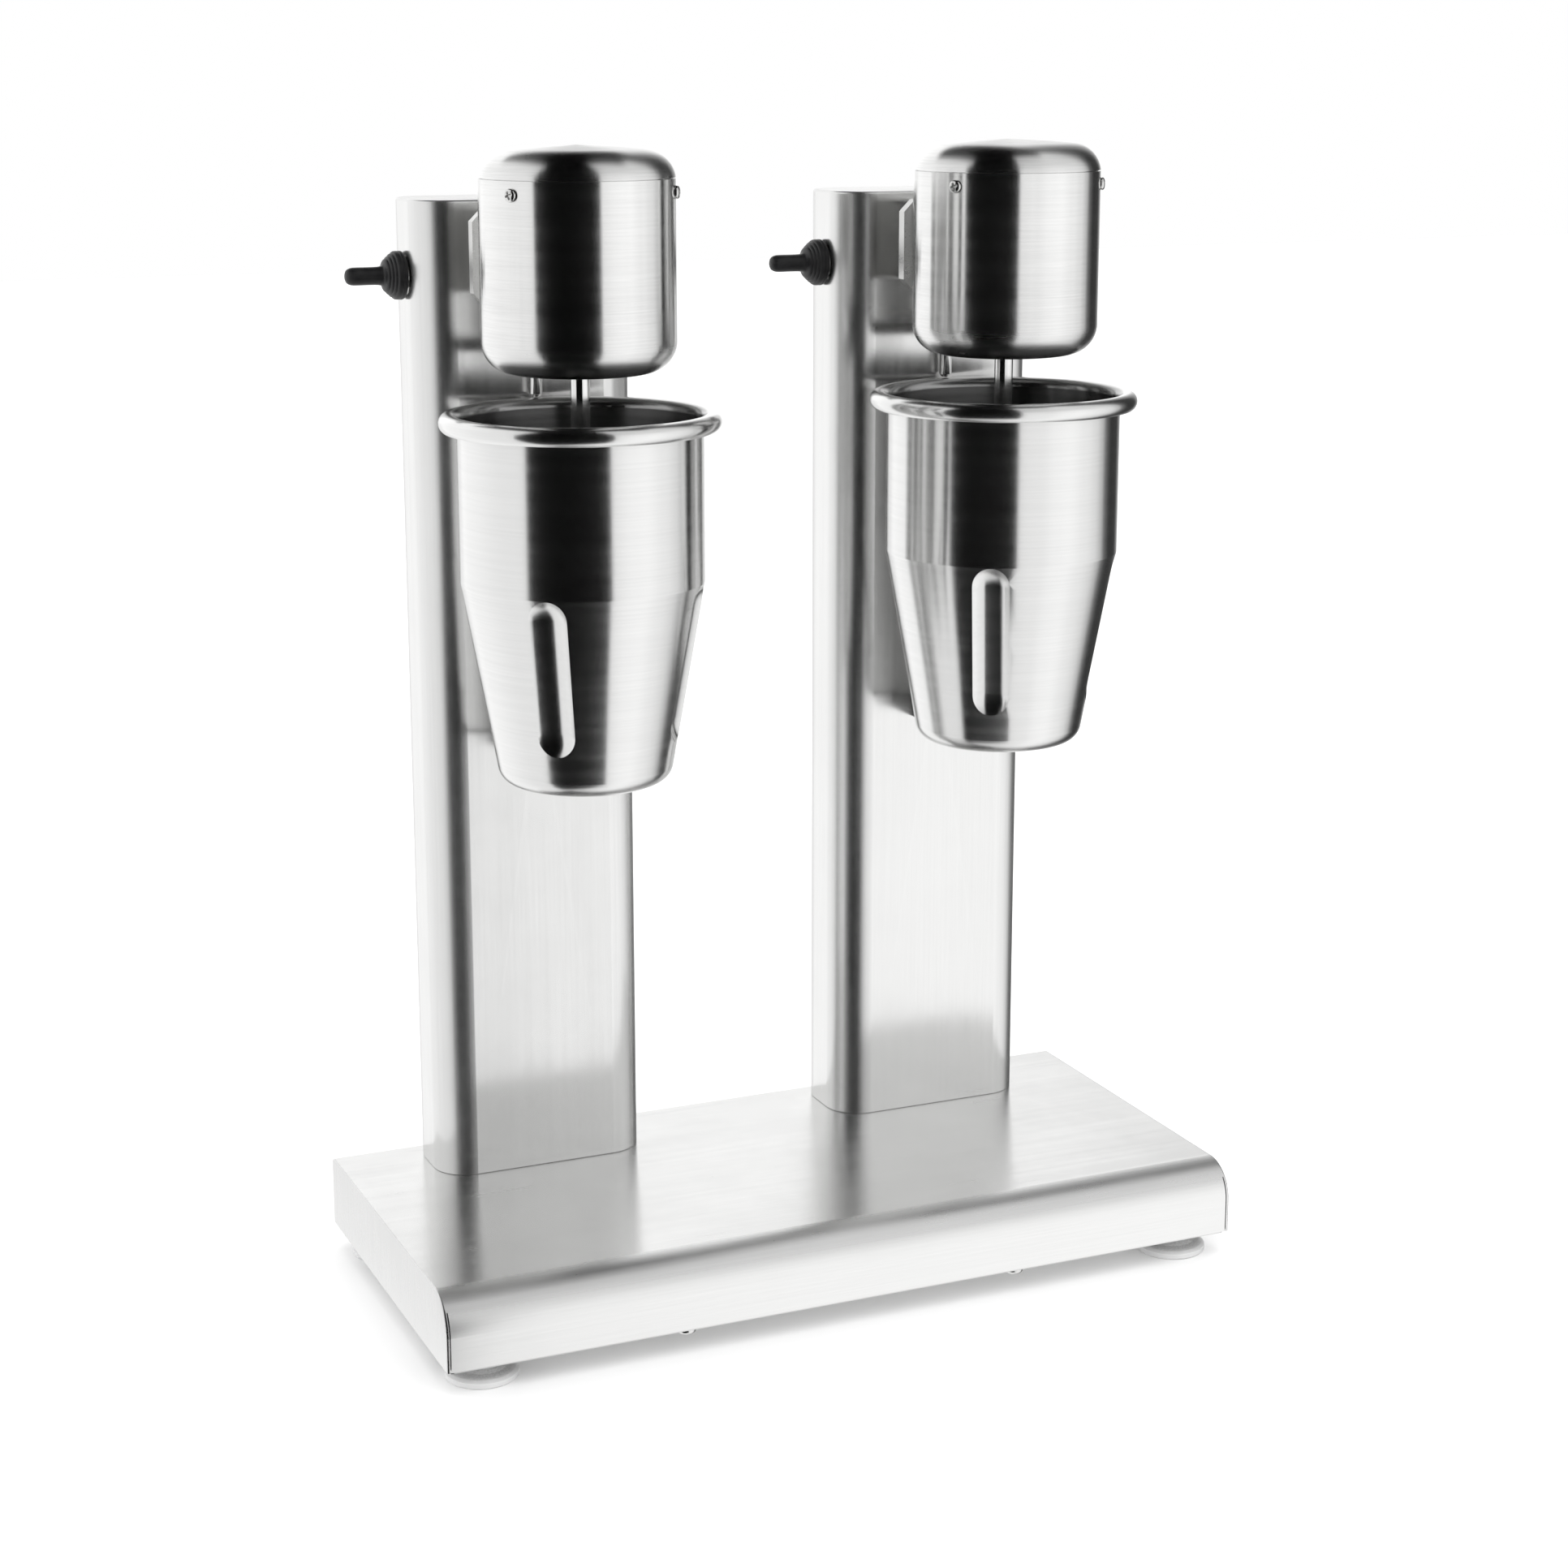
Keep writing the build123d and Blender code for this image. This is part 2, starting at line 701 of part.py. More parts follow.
    with BuildPart() as bearing_bracket:
        bracket_bottom = upper_bearing_bottom - bracket_thickness
        with BuildSketch(level(x, bracket_bottom)):
            Circle(head_radius - 3.5)
        extrude(amount=bracket_thickness)
        with BuildSketch(level(x, bracket_bottom)):
            Circle(bearing_radius + bearing_seat_wall)
        extrude(amount=bracket_thickness + bearing_width - 1)
        with BuildSketch(level(x, upper_bearing_bottom)):
            Circle(bearing_radius)
        extrude(amount=bearing_width, mode=Mode.SUBTRACT)
        with BuildSketch(level(x, bracket_bottom)):
            Circle(shaft_radius + 1)
            with PolarLocations(bracket_vent_ring, 4, start_angle=45):
                Circle(bracket_vent_radius)
        extrude(amount=bracket_thickness, mode=Mode.SUBTRACT)
        # two legs that stand on the stator
        with BuildSketch(level(x, stack_bottom + stack_height)):
            with Locations((-bracket_leg_offset, 0), (bracket_leg_offset, 0)):
                Rectangle(bracket_leg_width, bracket_leg_depth)
        extrude(amount=bracket_bottom - stack_bottom - stack_height)

    bearing_bracket.part.label = f"{side}_bearing_bracket"
    export_step(bearing_bracket.part, f"parts/{side}_bearing_bracket.step")

    with BuildPart() as brush_holders:
        with BuildSketch(level(x, bracket_bottom - holder_height)):
            with Locations((0, -holder_offset), (0, holder_offset)):
                Rectangle(brush_width + 2 * holder_wall + 0.2, holder_length)
        extrude(amount=holder_height)
        with BuildSketch(level(x, bracket_bottom - holder_height + holder_wall)):
            with Locations((0, -holder_offset), (0, holder_offset)):
                Rectangle(brush_width + 0.2, holder_length)
        extrude(amount=brush_height + 0.2, mode=Mode.SUBTRACT)

    brush_holders.part.label = f"{side}_brush_holders"
    export_step(brush_holders.part, f"parts/{side}_brush_holders.step")

    with BuildPart() as shaft_seal:
        with BuildSketch(level(x, head_bottom - seal_flange_thickness)):
            Circle(seal_flange_radius)
        extrude(amount=seal_flange_thickness)
        with BuildSketch(level(x, head_bottom)):
            Circle(seal_hole_radius - tight_hole)
        extrude(amount=seal_depth)
        with BuildSketch(level(x, head_bottom - seal_flange_thickness)):
            Circle(shaft_radius + running_gap)
        extrude(amount=seal_flange_thickness + seal_depth, mode=Mode.SUBTRACT)

    shaft_seal.part.label = f"{side}_shaft_seal"
    export_step(shaft_seal.part, f"parts/{side}_shaft_seal.step")

# ---------------------------------------------------------------------------
# Spindle of each unit: shaft, armature, commutator, fan and agitator turn together
# ---------------------------------------------------------------------------
for side, x in units:
    with BuildPart() as motor_shaft:
        with BuildSketch(level(x, shaft_bottom)):
            Circle(shaft_radius)
        extrude(amount=shaft_top - shaft_bottom)
        chamfer(motor_shaft.edges().filter_by(GeomType.CIRCLE), length=shaft_chamfer)

    motor_shaft.part.label = f"{side}_motor_shaft"
    export_step(motor_shaft.part, f"parts/{side}_motor_shaft.step")

    with BuildPart() as armature:
        with BuildSketch(level(x, stack_bottom)):
            Circle(armature_radius)
            with PolarLocations(armature_radius + 0.5 - slot_depth / 2, armature_slots):
                Rectangle(slot_depth, slot_width, mode=Mode.SUBTRACT)
        extrude(amount=stack_height)
        with BuildSketch(level(x, stack_bottom - winding_height)):
            Circle(winding_radius)
        extrude(amount=winding_height)
        with BuildSketch(level(x, stack_bottom + stack_height)):
            Circle(winding_radius)
        extrude(amount=winding_height)
        fillet(armature.edges().filter_by(GeomType.CIRCLE).group_by(Axis.Z)[0], radius=winding_bend)
        fillet(armature.edges().filter_by(GeomType.CIRCLE).group_by(Axis.Z)[-1], radius=winding_bend)
        with BuildSketch(level(x, stack_bottom - winding_height)):
            Circle(shaft_radius)
        extrude(amount=stack_height + 2 * winding_height, mode=Mode.SUBTRACT)

    armature.part.label = f"{side}_armature"
    export_step(armature.part, f"parts/{side}_armature.step")

    with BuildPart() as commutator:
        with BuildSketch(level(x, commutator_bottom)):
            Circle(commutator_radius)
            Circle(shaft_radius, mode=Mode.SUBTRACT)
            with PolarLocations(commutator_radius, 2 * armature_slots):
                Rectangle(2 * segment_slot_depth, segment_slot_width, mode=Mode.SUBTRACT)
        extrude(amount=commutator_height)

    commutator.part.label = f"{side}_commutator"
    export_step(commutator.part, f"parts/{side}_commutator.step")

    with BuildPart() as cooling_fan:
        with BuildSketch(level(x, fan_bottom)):
            Circle(fan_hub_radius)
            with PolarLocations((fan_hub_radius + fan_radius - 1) / 2, fan_blades):
                Rectangle(fan_radius - fan_hub_radius + 1, fan_blade_thickness)
        extrude(amount=fan_blade_height)
        with BuildSketch(level(x, fan_bottom + fan_blade_height - fan_disc_height)):
            Circle(fan_radius)
        extrude(amount=2 * fan_disc_height)
        with BuildSketch(level(x, fan_bottom)):
            Circle(shaft_radius)
        extrude(amount=fan_blade_height + fan_disc_height, mode=Mode.SUBTRACT)

    cooling_fan.part.label = f"{side}_cooling_fan"
    export_step(cooling_fan.part, f"parts/{side}_cooling_fan.step")

    with BuildPart() as agitator:
        with BuildSketch(level(x, shaft_bottom + agitator_height)):
            Circle(agitator_radius)
            with PolarLocations(agitator_notch_ring, agitator_notches):
                Circle(agitator_notch_radius, mode=Mode.SUBTRACT)
        extrude(amount=agitator_thickness)
        with BuildSketch(level(x, shaft_bottom + agitator_hub_start)):
            Circle(agitator_hub_radius)
        extrude(amount=agitator_hub_height)
        # pressed bumps that stir the milk
        with BuildSketch(level(x, shaft_bottom + agitator_height)):
            with PolarLocations(agitator_bump_ring, agitator_notches, start_angle=30):
                Circle(agitator_bump_radius)
        extrude(amount=agitator_bump_height)
        fillet(agitator.faces().sort_by(Axis.Z)[-1].edges(), radius=agitator_bend)
        with BuildSketch(level(x, shaft_bottom)):
            Circle(shaft_radius)
        extrude(amount=agitator_hub_start + agitator_hub_height, mode=Mode.SUBTRACT)

    agitator.part.label = f"{side}_agitator"
    export_step(agitator.part, f"parts/{side}_agitator.step")

# ---------------------------------------------------------------------------
# Cup of each unit
# ---------------------------------------------------------------------------
cup_slope = (cup_radius - cup_foot_radius) / (cup_shoulder - cup_bottom)
cup_lean = atan2(cup_slope, 1)
bead_radius = cup_radius - cup_wall + rim_bead
bead_height = cup_rim - rim_bead
middle = Plane(origin=(0, spindle_y, 0), x_dir=(1, 0, 0), z_dir=(0, -1, 0))
middle_axis = Axis((0, spindle_y, 0), (0, 0, 1))


def cup_form(inset):
    """Solid form of the cup between the two units, drawn in from the outside by inset."""
    foot = cup_foot_radius - inset / cos(cup_lean) + cup_slope * inset
    wall = cup_radius - inset
    shoulder = cup_bottom + inset + (wall - foot) / cup_slope
    with BuildPart() as form:
        with BuildSketch(middle) as outline:
            with BuildLine():
                Polyline(
                    (0, cup_bottom + inset), (foot, cup_bottom + inset), (wall, shoulder),
                    (wall, bead_height), (0, bead_height), (0, cup_bottom + inset),
                )
            make_face()
            on_edge = outline.vertices().filter_by(lambda v: v.X > 1).sort_by(Axis.Y)
            fillet(on_edge[0], radius=cup_foot_bend - inset)
            fillet(on_edge[1], radius=cup_shoulder_bend - inset)
        revolve(axis=middle_axis)
        # long round-ended flutes pressed into the tapered wall
        out = flute_radius - flute_depth
        for angle in flute_angles:
            ends = []
            for height in (flute_bottom, flute_top):
                radius = cup_foot_radius + cup_slope * (height - cup_bottom)
                reach = radius + out * cos(cup_lean)
                ends.append(Vector(*polar(0, reach, angle, height - out * sin(cup_lean))))
            along = Plane(origin=ends[0], z_dir=ends[1] - ends[0])
            length = (ends[1] - ends[0]).length
            with Locations(along):
                Cylinder(
                    flute_radius + inset, length,
                    align=(Align.CENTER, Align.CENTER, Align.MIN), mode=Mode.SUBTRACT,
                )
            with Locations(*ends):
                Sphere(flute_radius + inset, mode=Mode.SUBTRACT)
    return form.part


with BuildPart() as cup_pattern:
    add(cup_form(0))
    add(cup_form(cup_wall), mode=Mode.SUBTRACT)
    # rim: the wall rolls outwards and down into an open bead
    with BuildSketch(middle):
        with BuildLine():
            center = (bead_radius, bead_height)
            outer_roll = CenterArc(center, rim_bead, 180, -rim_curl_sweep)
            inner_roll = CenterArc(center, rim_bead - cup_wall, 180, -rim_curl_sweep)
            Line(outer_roll @ 0, inner_roll @ 0)
            Line(outer_roll @ 1, inner_roll @ 1)
        make_face()
    revolve(axis=middle_axis)

for side, x in units:
    turned = Location((x, spindle_y, 0), (0, 0, cup_turns[side])) * Location((0, -spindle_y, 0))
    with BuildPart() as cup:
        with Locations(turned):
            add(cup_pattern.part)

    cup.part.label = f"{side}_cup"
    export_step(cup.part, f"parts/{side}_cup.step")

# ---------------------------------------------------------------------------
# Plunger that the cup lifts, its spring and its microswitch
# ---------------------------------------------------------------------------
for side, x in units:
    with BuildPart() as plunger:
        with BuildSketch(upright(x, plunger_offset)):
            with BuildLine():
                collar_top = plunger_collar_bottom + plunger_collar_height
                cam_top = plunger_cam_bottom + plunger_cam_height
                tip = cup_rim + seat_gap
                Polyline(
                    (0, tip), (plunger_radius - plunger_tip_chamfer, tip), (plunger_radius, tip + 1.2),
                    (plunger_radius, plunger_collar_bottom),
                    (plunger_collar_radius, plunger_collar_bottom), (plunger_collar_radius, collar_top),
                    (plunger_stem_radius, collar_top), (plunger_stem_radius, plunger_cam_bottom),
                    (plunger_collar_radius, plunger_cam_bottom + 1), (plunger_collar_radius, cam_top),
                    (plunger_stem_radius, cam_top), (plunger_stem_radius, plunger_top), (0, plunger_top),
                    (0, tip),
                )
            make_face()
        revolve(axis=Axis((x, spindle_y + plunger_offset, 0), (0, 0, 1)))

    plunger.part.label = f"{side}_plunger"
    export_step(plunger.part, f"parts/{side}_plunger.step")

    spring_bottom = collar_top + spring_wire
    spring_length = neck_rib_bottom - collar_top - 2 * spring_wire
    with BuildPart() as plunger_spring:
        with BuildLine(Plane(origin=(x, spindle_y + plunger_offset, spring_bottom))) as coil:
            Helix(pitch=spring_length / spring_turns, height=spring_length, radius=spring_radius)
        with BuildSketch(Plane(origin=coil.line @ 0, z_dir=coil.line % 0)):
            Circle(spring_wire)
        sweep(is_frenet=True)

    plunger_spring.part.label = f"{side}_plunger_spring"
    export_step(plunger_spring.part, f"parts/{side}_plunger_spring.step")

    with BuildPart() as microswitch:
        with BuildSketch(level(x, microswitch_bottom)):
            with Locations((microswitch_offset, plunger_offset)):
                RectangleRounded(microswitch_width, microswitch_depth, 0.5)
        extrude(amount=microswitch_height)
        # button that the plunger's cam presses
        button_x = x + microswitch_offset - microswitch_width / 2
        button_face = (button_x, spindle_y + plunger_offset, microswitch_button_height)
        with BuildSketch(Plane(origin=button_face, z_dir=(-1, 0, 0))):
            Circle(1)
        extrude(amount=1)

    microswitch.part.label = f"{side}_microswitch"
    export_step(microswitch.part, f"parts/{side}_microswitch.step")

# ---------------------------------------------------------------------------
# Toggle switch on the left side of each column
# ---------------------------------------------------------------------------
for side, x in units:
    with BuildPart() as toggle_switch:
        with BuildSketch(switch_level(x, -sheet)):
            RectangleRounded(switch_body_width, switch_body_height, 1)
        extrude(amount=-switch_body_depth)
        with BuildSketch(switch_level(x, -sheet)):
            Circle(toggle_bushing_radius)
        extrude(amount=sheet + toggle_bushing_length)
        with BuildSketch(switch_level(x, toggle_bushing_length)):
            Circle(toggle_bore_radius)
        extrude(amount=-toggle_bushing_length - switch_bore_depth, mode=Mode.SUBTRACT)
        # three solder tags
        with BuildSketch(switch_level(x, -sheet - switch_body_depth)):
            with GridLocations(0, switch_tag_pitch, 1, 3):
                Rectangle(switch_tag_width, switch_tag_thickness)
        extrude(amount=-switch_tag_length)

    toggle_switch.part.label = f"{side}_toggle_switch"
    export_step(toggle_switch.part, f"parts/{side}_toggle_switch.step")

    with BuildPart() as toggle_lever:
        with BuildSketch(switch_profile(x)):
            with BuildLine():
                Polyline(
                    (0, -toggle_pivot), (lever_root_radius, -toggle_pivot),
                    (lever_tip_radius, boot_tip - 2.4),
                    (0, boot_tip - 1.6), (0, -toggle_pivot),
                )
            make_face()
        revolve(axis=switch_axis(x))
        with Locations((switch_side(x) + toggle_pivot, toggle_y, toggle_height)):
            Sphere(toggle_ball_radius)
        # cross pin that the lever rocks on
        pin_end = (switch_side(x) + toggle_pivot, toggle_y - toggle_pin_length / 2, toggle_height)
        with BuildSketch(Plane(origin=pin_end, z_dir=(0, 1, 0))):
            Circle(toggle_pin_radius)
        extrude(amount=toggle_pin_length)

    toggle_lever.part.label = f"{side}_toggle_lever"
    export_step(toggle_lever.part, f"parts/{side}_toggle_lever.step")

    with BuildPart() as boot_sleeve:
        with BuildSketch(switch_profile(x)):
            with BuildLine():
                dome = TangentArc(
                    (boot_sleeve_radius, boot_tip - boot_sleeve_radius), (0, boot_tip), tangent=(0, 1)
                )
                Polyline(
                    (0, boot_tip), (0, boot_tip - 1.5), (2.05, boot_tip - 2.3), (2.05, boot_sleeve_start),
                    (boot_sleeve_radius + 0.2, boot_sleeve_start),
                    (boot_sleeve_radius - 0.2, boot_sleeve_start + 3),
                    (boot_sleeve_radius, boot_tip - boot_sleeve_radius),
                )
            make_face()
        revolve(axis=switch_axis(x))

    boot_sleeve.part.label = f"{side}_boot_sleeve"
    export_step(boot_sleeve.part, f"parts/{side}_boot_sleeve.step")

    with BuildPart() as boot_skirt:
        with BuildSketch(switch_profile(x)):
            with BuildLine():
                Polyline(
                    (8.7, 1.1), (boot_radius, 1.1), (boot_radius, 4.2), (boot_radius - 0.5, 4.7),
                    (8.3, 4.9), (8.7, 5.7), (7.3, 6.1), (7.7, 6.9), (6.4, 7.3), (6.6, 8.1), (6.2, 8.4),
                    (5.1, 8.4), (5.1, 7.2), (8.7, 3.8), (8.7, 1.1),
                )
            make_face()
        revolve(axis=switch_axis(x))

    boot_skirt.part.label = f"{side}_boot_skirt"
    export_step(boot_skirt.part, f"parts/{side}_boot_skirt.step")

# ---------------------------------------------------------------------------
# Pieces that both units share a node for: fasteners, bearings and brushes
# ---------------------------------------------------------------------------
with BuildPart() as switch_nuts:
    for _, x in units:
        with BuildSketch(switch_level(x)):
            Circle(switch_washer_radius)
            Circle(toggle_bushing_radius + tight_hole, mode=Mode.SUBTRACT)
        extrude(amount=switch_washer_thickness)
        with BuildSketch(switch_level(x, switch_washer_thickness)):
            RegularPolygon(switch_nut_radius, 6)
            Circle(toggle_bushing_radius + tight_hole, mode=Mode.SUBTRACT)
        extrude(amount=switch_nut_thickness)

switch_nuts.part.label = "switch_nuts"
export_step(switch_nuts.part, "parts/switch_nuts.step")

with BuildPart() as bearings:
    for _, x in units:
        for height in (lower_bearing_bottom, upper_bearing_bottom):
            with BuildSketch(level(x, height)):
                Circle(bearing_radius)
                Circle(shaft_radius + running_gap, mode=Mode.SUBTRACT)
            extrude(amount=bearing_width)

bearings.part.label = "bearings"
export_step(bearings.part, "parts/bearings.step")

with BuildPart() as brushes:
    for _, x in units:
        with BuildSketch(level(x, bracket_bottom - holder_height + holder_wall + 0.1)):
            for direction in (-1, 1):
                with Locations((0, direction * (commutator_radius + brush_clearance + brush_length / 2))):
                    Rectangle(brush_width, brush_length)
        extrude(amount=brush_height)

brushes.part.label = "brushes"
export_step(brushes.part, "parts/brushes.step")

with BuildPart() as cap_screws:
    for _, x in units:
        for angle in cap_screw_angles:
            outwards = (cos(radians(angle)), sin(radians(angle)), 0)
            seat = Plane(origin=polar(x, head_radius, angle, cap_screw_height), z_dir=outwards)
            with BuildSketch(seat):
                Circle(m3_head_radius)
            extrude(amount=m3_head_height)
            with BuildSketch(seat.offset(-m3_length)):
                Circle(m3_radius)
            extrude(amount=m3_length)
            with BuildSketch(seat.offset(m3_head_height)):
                Rectangle(cross_slot_length, cross_slot_width)
                Rectangle(cross_slot_width, cross_slot_length)
            extrude(amount=-cross_slot_depth, mode=Mode.SUBTRACT)

cap_screws.part.label = "cap_screws"
export_step(cap_screws.part, "parts/cap_screws.step")

with BuildPart() as housing_screws:
    for _, x in units:
        with BuildSketch(upright(x, housing_screw_seat)):
            with Locations(*housing_screw_places):
                Circle(housing_screw_head_radius)
        extrude(amount=-housing_screw_head_height)
        with BuildSketch(upright(x, housing_screw_seat)):
            with Locations(*housing_screw_places):
                Circle(m4_radius)
        extrude(amount=-rest_screw_length)

housing_screws.part.label = "housing_screws"
export_step(housing_screws.part, "parts/housing_screws.step")

with BuildPart() as cup_rest_screws:
    for _, x in units:
        with BuildSketch(upright(x, spindle_to_column - rest_thickness)):
            with Locations(*[(0, height) for height in rest_screw_heights]):
                Circle(m4_head_radius)
        extrude(amount=m4_head_height)
        with BuildSketch(upright(x, spindle_to_column - rest_thickness)):
            with Locations(*[(0, height) for height in rest_screw_heights]):
                Circle(m4_radius)
        extrude(amount=-rest_screw_length)

cup_rest_screws.part.label = "cup_rest_screws"
export_step(cup_rest_screws.part, "parts/cup_rest_screws.step")

with BuildPart() as column_bolts:
    for _, x in units:
        # neck bolts, with their heads inside the column
        with BuildSketch(upright(x, spindle_to_column + sheet)):
            with Locations(*neck_bolt_places):
                Circle(m5_head_radius)
        extrude(amount=-m5_head_height)
        with BuildSketch(upright(x, spindle_to_column + sheet)):
            with Locations(*neck_bolt_places):
                Circle(m5_radius)
        extrude(amount=m5_length)
        # foot bolts, with their heads inside the base
        with BuildSketch(Plane(origin=(x, column_middle_y, base_top - sheet))):
            with GridLocations(*column_bolt_grid, 2, 2):
                Circle(m5_head_radius)
        extrude(amount=-m5_head_height)
        with BuildSketch(Plane(origin=(x, column_middle_y, base_top - sheet))):
            with GridLocations(*column_bolt_grid, 2, 2):
                Circle(m5_radius)
        extrude(amount=m5_length)

column_bolts.part.label = "column_bolts"
export_step(column_bolts.part, "parts/column_bolts.step")
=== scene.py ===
import json
from math import cos, pi, radians, sin

import bpy
from mathutils import Matrix, Vector


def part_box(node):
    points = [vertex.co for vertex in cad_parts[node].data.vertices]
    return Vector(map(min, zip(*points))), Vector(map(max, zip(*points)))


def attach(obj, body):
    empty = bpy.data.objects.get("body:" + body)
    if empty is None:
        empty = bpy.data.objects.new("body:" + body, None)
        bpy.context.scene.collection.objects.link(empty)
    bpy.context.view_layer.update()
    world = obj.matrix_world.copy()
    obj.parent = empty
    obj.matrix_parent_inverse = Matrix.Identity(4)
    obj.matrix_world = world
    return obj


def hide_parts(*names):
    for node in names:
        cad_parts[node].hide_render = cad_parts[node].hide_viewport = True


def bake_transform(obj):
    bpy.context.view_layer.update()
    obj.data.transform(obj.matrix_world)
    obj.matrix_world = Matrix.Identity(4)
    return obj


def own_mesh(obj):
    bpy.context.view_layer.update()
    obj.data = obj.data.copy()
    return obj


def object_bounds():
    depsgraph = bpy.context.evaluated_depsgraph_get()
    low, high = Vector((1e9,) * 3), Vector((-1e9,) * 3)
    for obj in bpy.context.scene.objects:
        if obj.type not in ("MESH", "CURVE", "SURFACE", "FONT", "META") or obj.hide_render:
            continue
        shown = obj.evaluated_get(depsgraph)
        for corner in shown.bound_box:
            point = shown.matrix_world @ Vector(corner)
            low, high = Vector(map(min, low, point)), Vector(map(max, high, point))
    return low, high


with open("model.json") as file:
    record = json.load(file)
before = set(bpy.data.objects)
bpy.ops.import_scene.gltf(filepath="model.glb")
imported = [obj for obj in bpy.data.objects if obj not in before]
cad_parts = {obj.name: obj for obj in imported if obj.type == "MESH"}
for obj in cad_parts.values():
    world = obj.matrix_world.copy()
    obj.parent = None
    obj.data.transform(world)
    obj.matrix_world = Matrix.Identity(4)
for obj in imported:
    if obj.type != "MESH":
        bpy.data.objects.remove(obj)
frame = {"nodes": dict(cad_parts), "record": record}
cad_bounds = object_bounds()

MM = 0.001
nodes = frame["nodes"]
record = frame["record"]


# ---------------------------------------------------------------------------
# Places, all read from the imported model
# ---------------------------------------------------------------------------
def middle(node):
    low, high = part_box(node)
    return (low + high) / 2


SIDES = ("left", "right")
spindle = {side: middle(f"{side}_motor_shaft") for side in SIDES}
head = {side: middle(f"{side}_motor_housing") for side in SIDES}
unit_x = head["right"].x
spindle_y = spindle["left"].y
head_low, head_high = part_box("left_motor_housing")
head_radius = (head_high.x - head_low.x) / 2
cap_screw_z = middle("cap_screws").z
cap_screw_angles = (-150, -30, 90)


# ---------------------------------------------------------------------------
# Shader nodes in short form
# ---------------------------------------------------------------------------
def add(tree, kind, inputs=None, **settings):
    """Adds a shader node, sets its properties and fills or links its inputs."""
    node = tree.nodes.new(kind)
    for name, value in settings.items():
        setattr(node, name, value)
    for name, value in (inputs or {}).items():
        if isinstance(value, bpy.types.NodeSocket):
            tree.links.new(value, node.inputs[name])
        else:
            node.inputs[name].default_value = value
    return node


def calc(tree, operation, *values, clamp=False):
    inputs = dict(enumerate(values))
    return add(tree, "ShaderNodeMath", inputs, operation=operation, use_clamp=clamp).outputs[0]


def vector_calc(tree, operation, *values):
    return add(tree, "ShaderNodeVectorMath", dict(enumerate(values)), operation=operation).outputs[0]


def combine(tree, x, y, z):
    return add(tree, "ShaderNodeCombineXYZ", {0: x, 1: y, 2: z}).outputs[0]


def separate(tree, vector):
    return add(tree, "ShaderNodeSeparateXYZ", {0: vector}).outputs


def object_place(tree):
    """The shaded point in the object's own coordinates."""
    return add(tree, "ShaderNodeTexCoord").outputs["Object"]


def ramp(tree, value, low, high, out_low=0.0, out_high=1.0, smooth=False):
    """Maps low..high to out_low..out_high, held at both ends."""
    kind = "SMOOTHSTEP" if smooth else "LINEAR"
    inputs = {"Value": value, "From Min": low, "From Max": high, "To Min": out_low, "To Max": out_high}
    return add(tree, "ShaderNodeMapRange", inputs, interpolation_type=kind, clamp=True).outputs[0]


def blend_value(tree, factor, a, b):
    return add(tree, "ShaderNodeMix", {0: factor, 2: a, 3: b}, data_type="FLOAT").outputs[0]


def blend_color(tree, factor, a, b):
    return add(tree, "ShaderNodeMix", {0: factor, 6: a, 7: b}, data_type="RGBA").outputs[2]


def noise(tree, vector, scale, detail=2.0, roughness=0.55, w=None):
    inputs = {"Vector": vector, "Scale": scale, "Detail": detail, "Roughness": roughness}
    if w is None:
        return add(tree, "ShaderNodeTexNoise", inputs, noise_dimensions="3D").outputs[0]
    inputs["W"] = w
    return add(tree, "ShaderNodeTexNoise", inputs, noise_dimensions="4D").outputs[0]


def rgb(color, factor=1.0):
    return (color[0] * factor, color[1] * factor, color[2] * factor, 1.0)


def start_material(name):
    material = bpy.data.materials.new(name)
    material.use_nodes = True
    tree = material.node_tree
    tree.nodes.clear()
    output = add(tree, "ShaderNodeOutputMaterial")
    shader = add(tree, "ShaderNodeBsdfPrincipled")
    tree.links.new(shader.outputs[0], output.inputs[0])
    return material, tree, shader


def feed(tree, shader, **inputs):
    """Links or sets the shader's sockets; an underscore in a name stands for a space."""
    for name, value in inputs.items():
        socket = shader.inputs[name.replace("_", " ")]
        if isinstance(value, bpy.types.NodeSocket):
            tree.links.new(value, socket)
        else:
            socket.default_value = value


def worn_edges(tree, geometry, low=0.52, high=0.6):
    """1 on sharp outer edges and 0 on flat surfaces."""
    return ramp(tree, geometry["Pointiness"], low, high)


def bump(tree, height, strength, distance):
    inputs = {"Height": height, "Strength": strength, "Distance": distance}
    return add(tree, "ShaderNodeBump", inputs).outputs[0]


# ---------------------------------------------------------------------------
# Materials
# ---------------------------------------------------------------------------
FACES_AXIS = 0.7   # a normal's share along an axis above which a face counts as facing that way


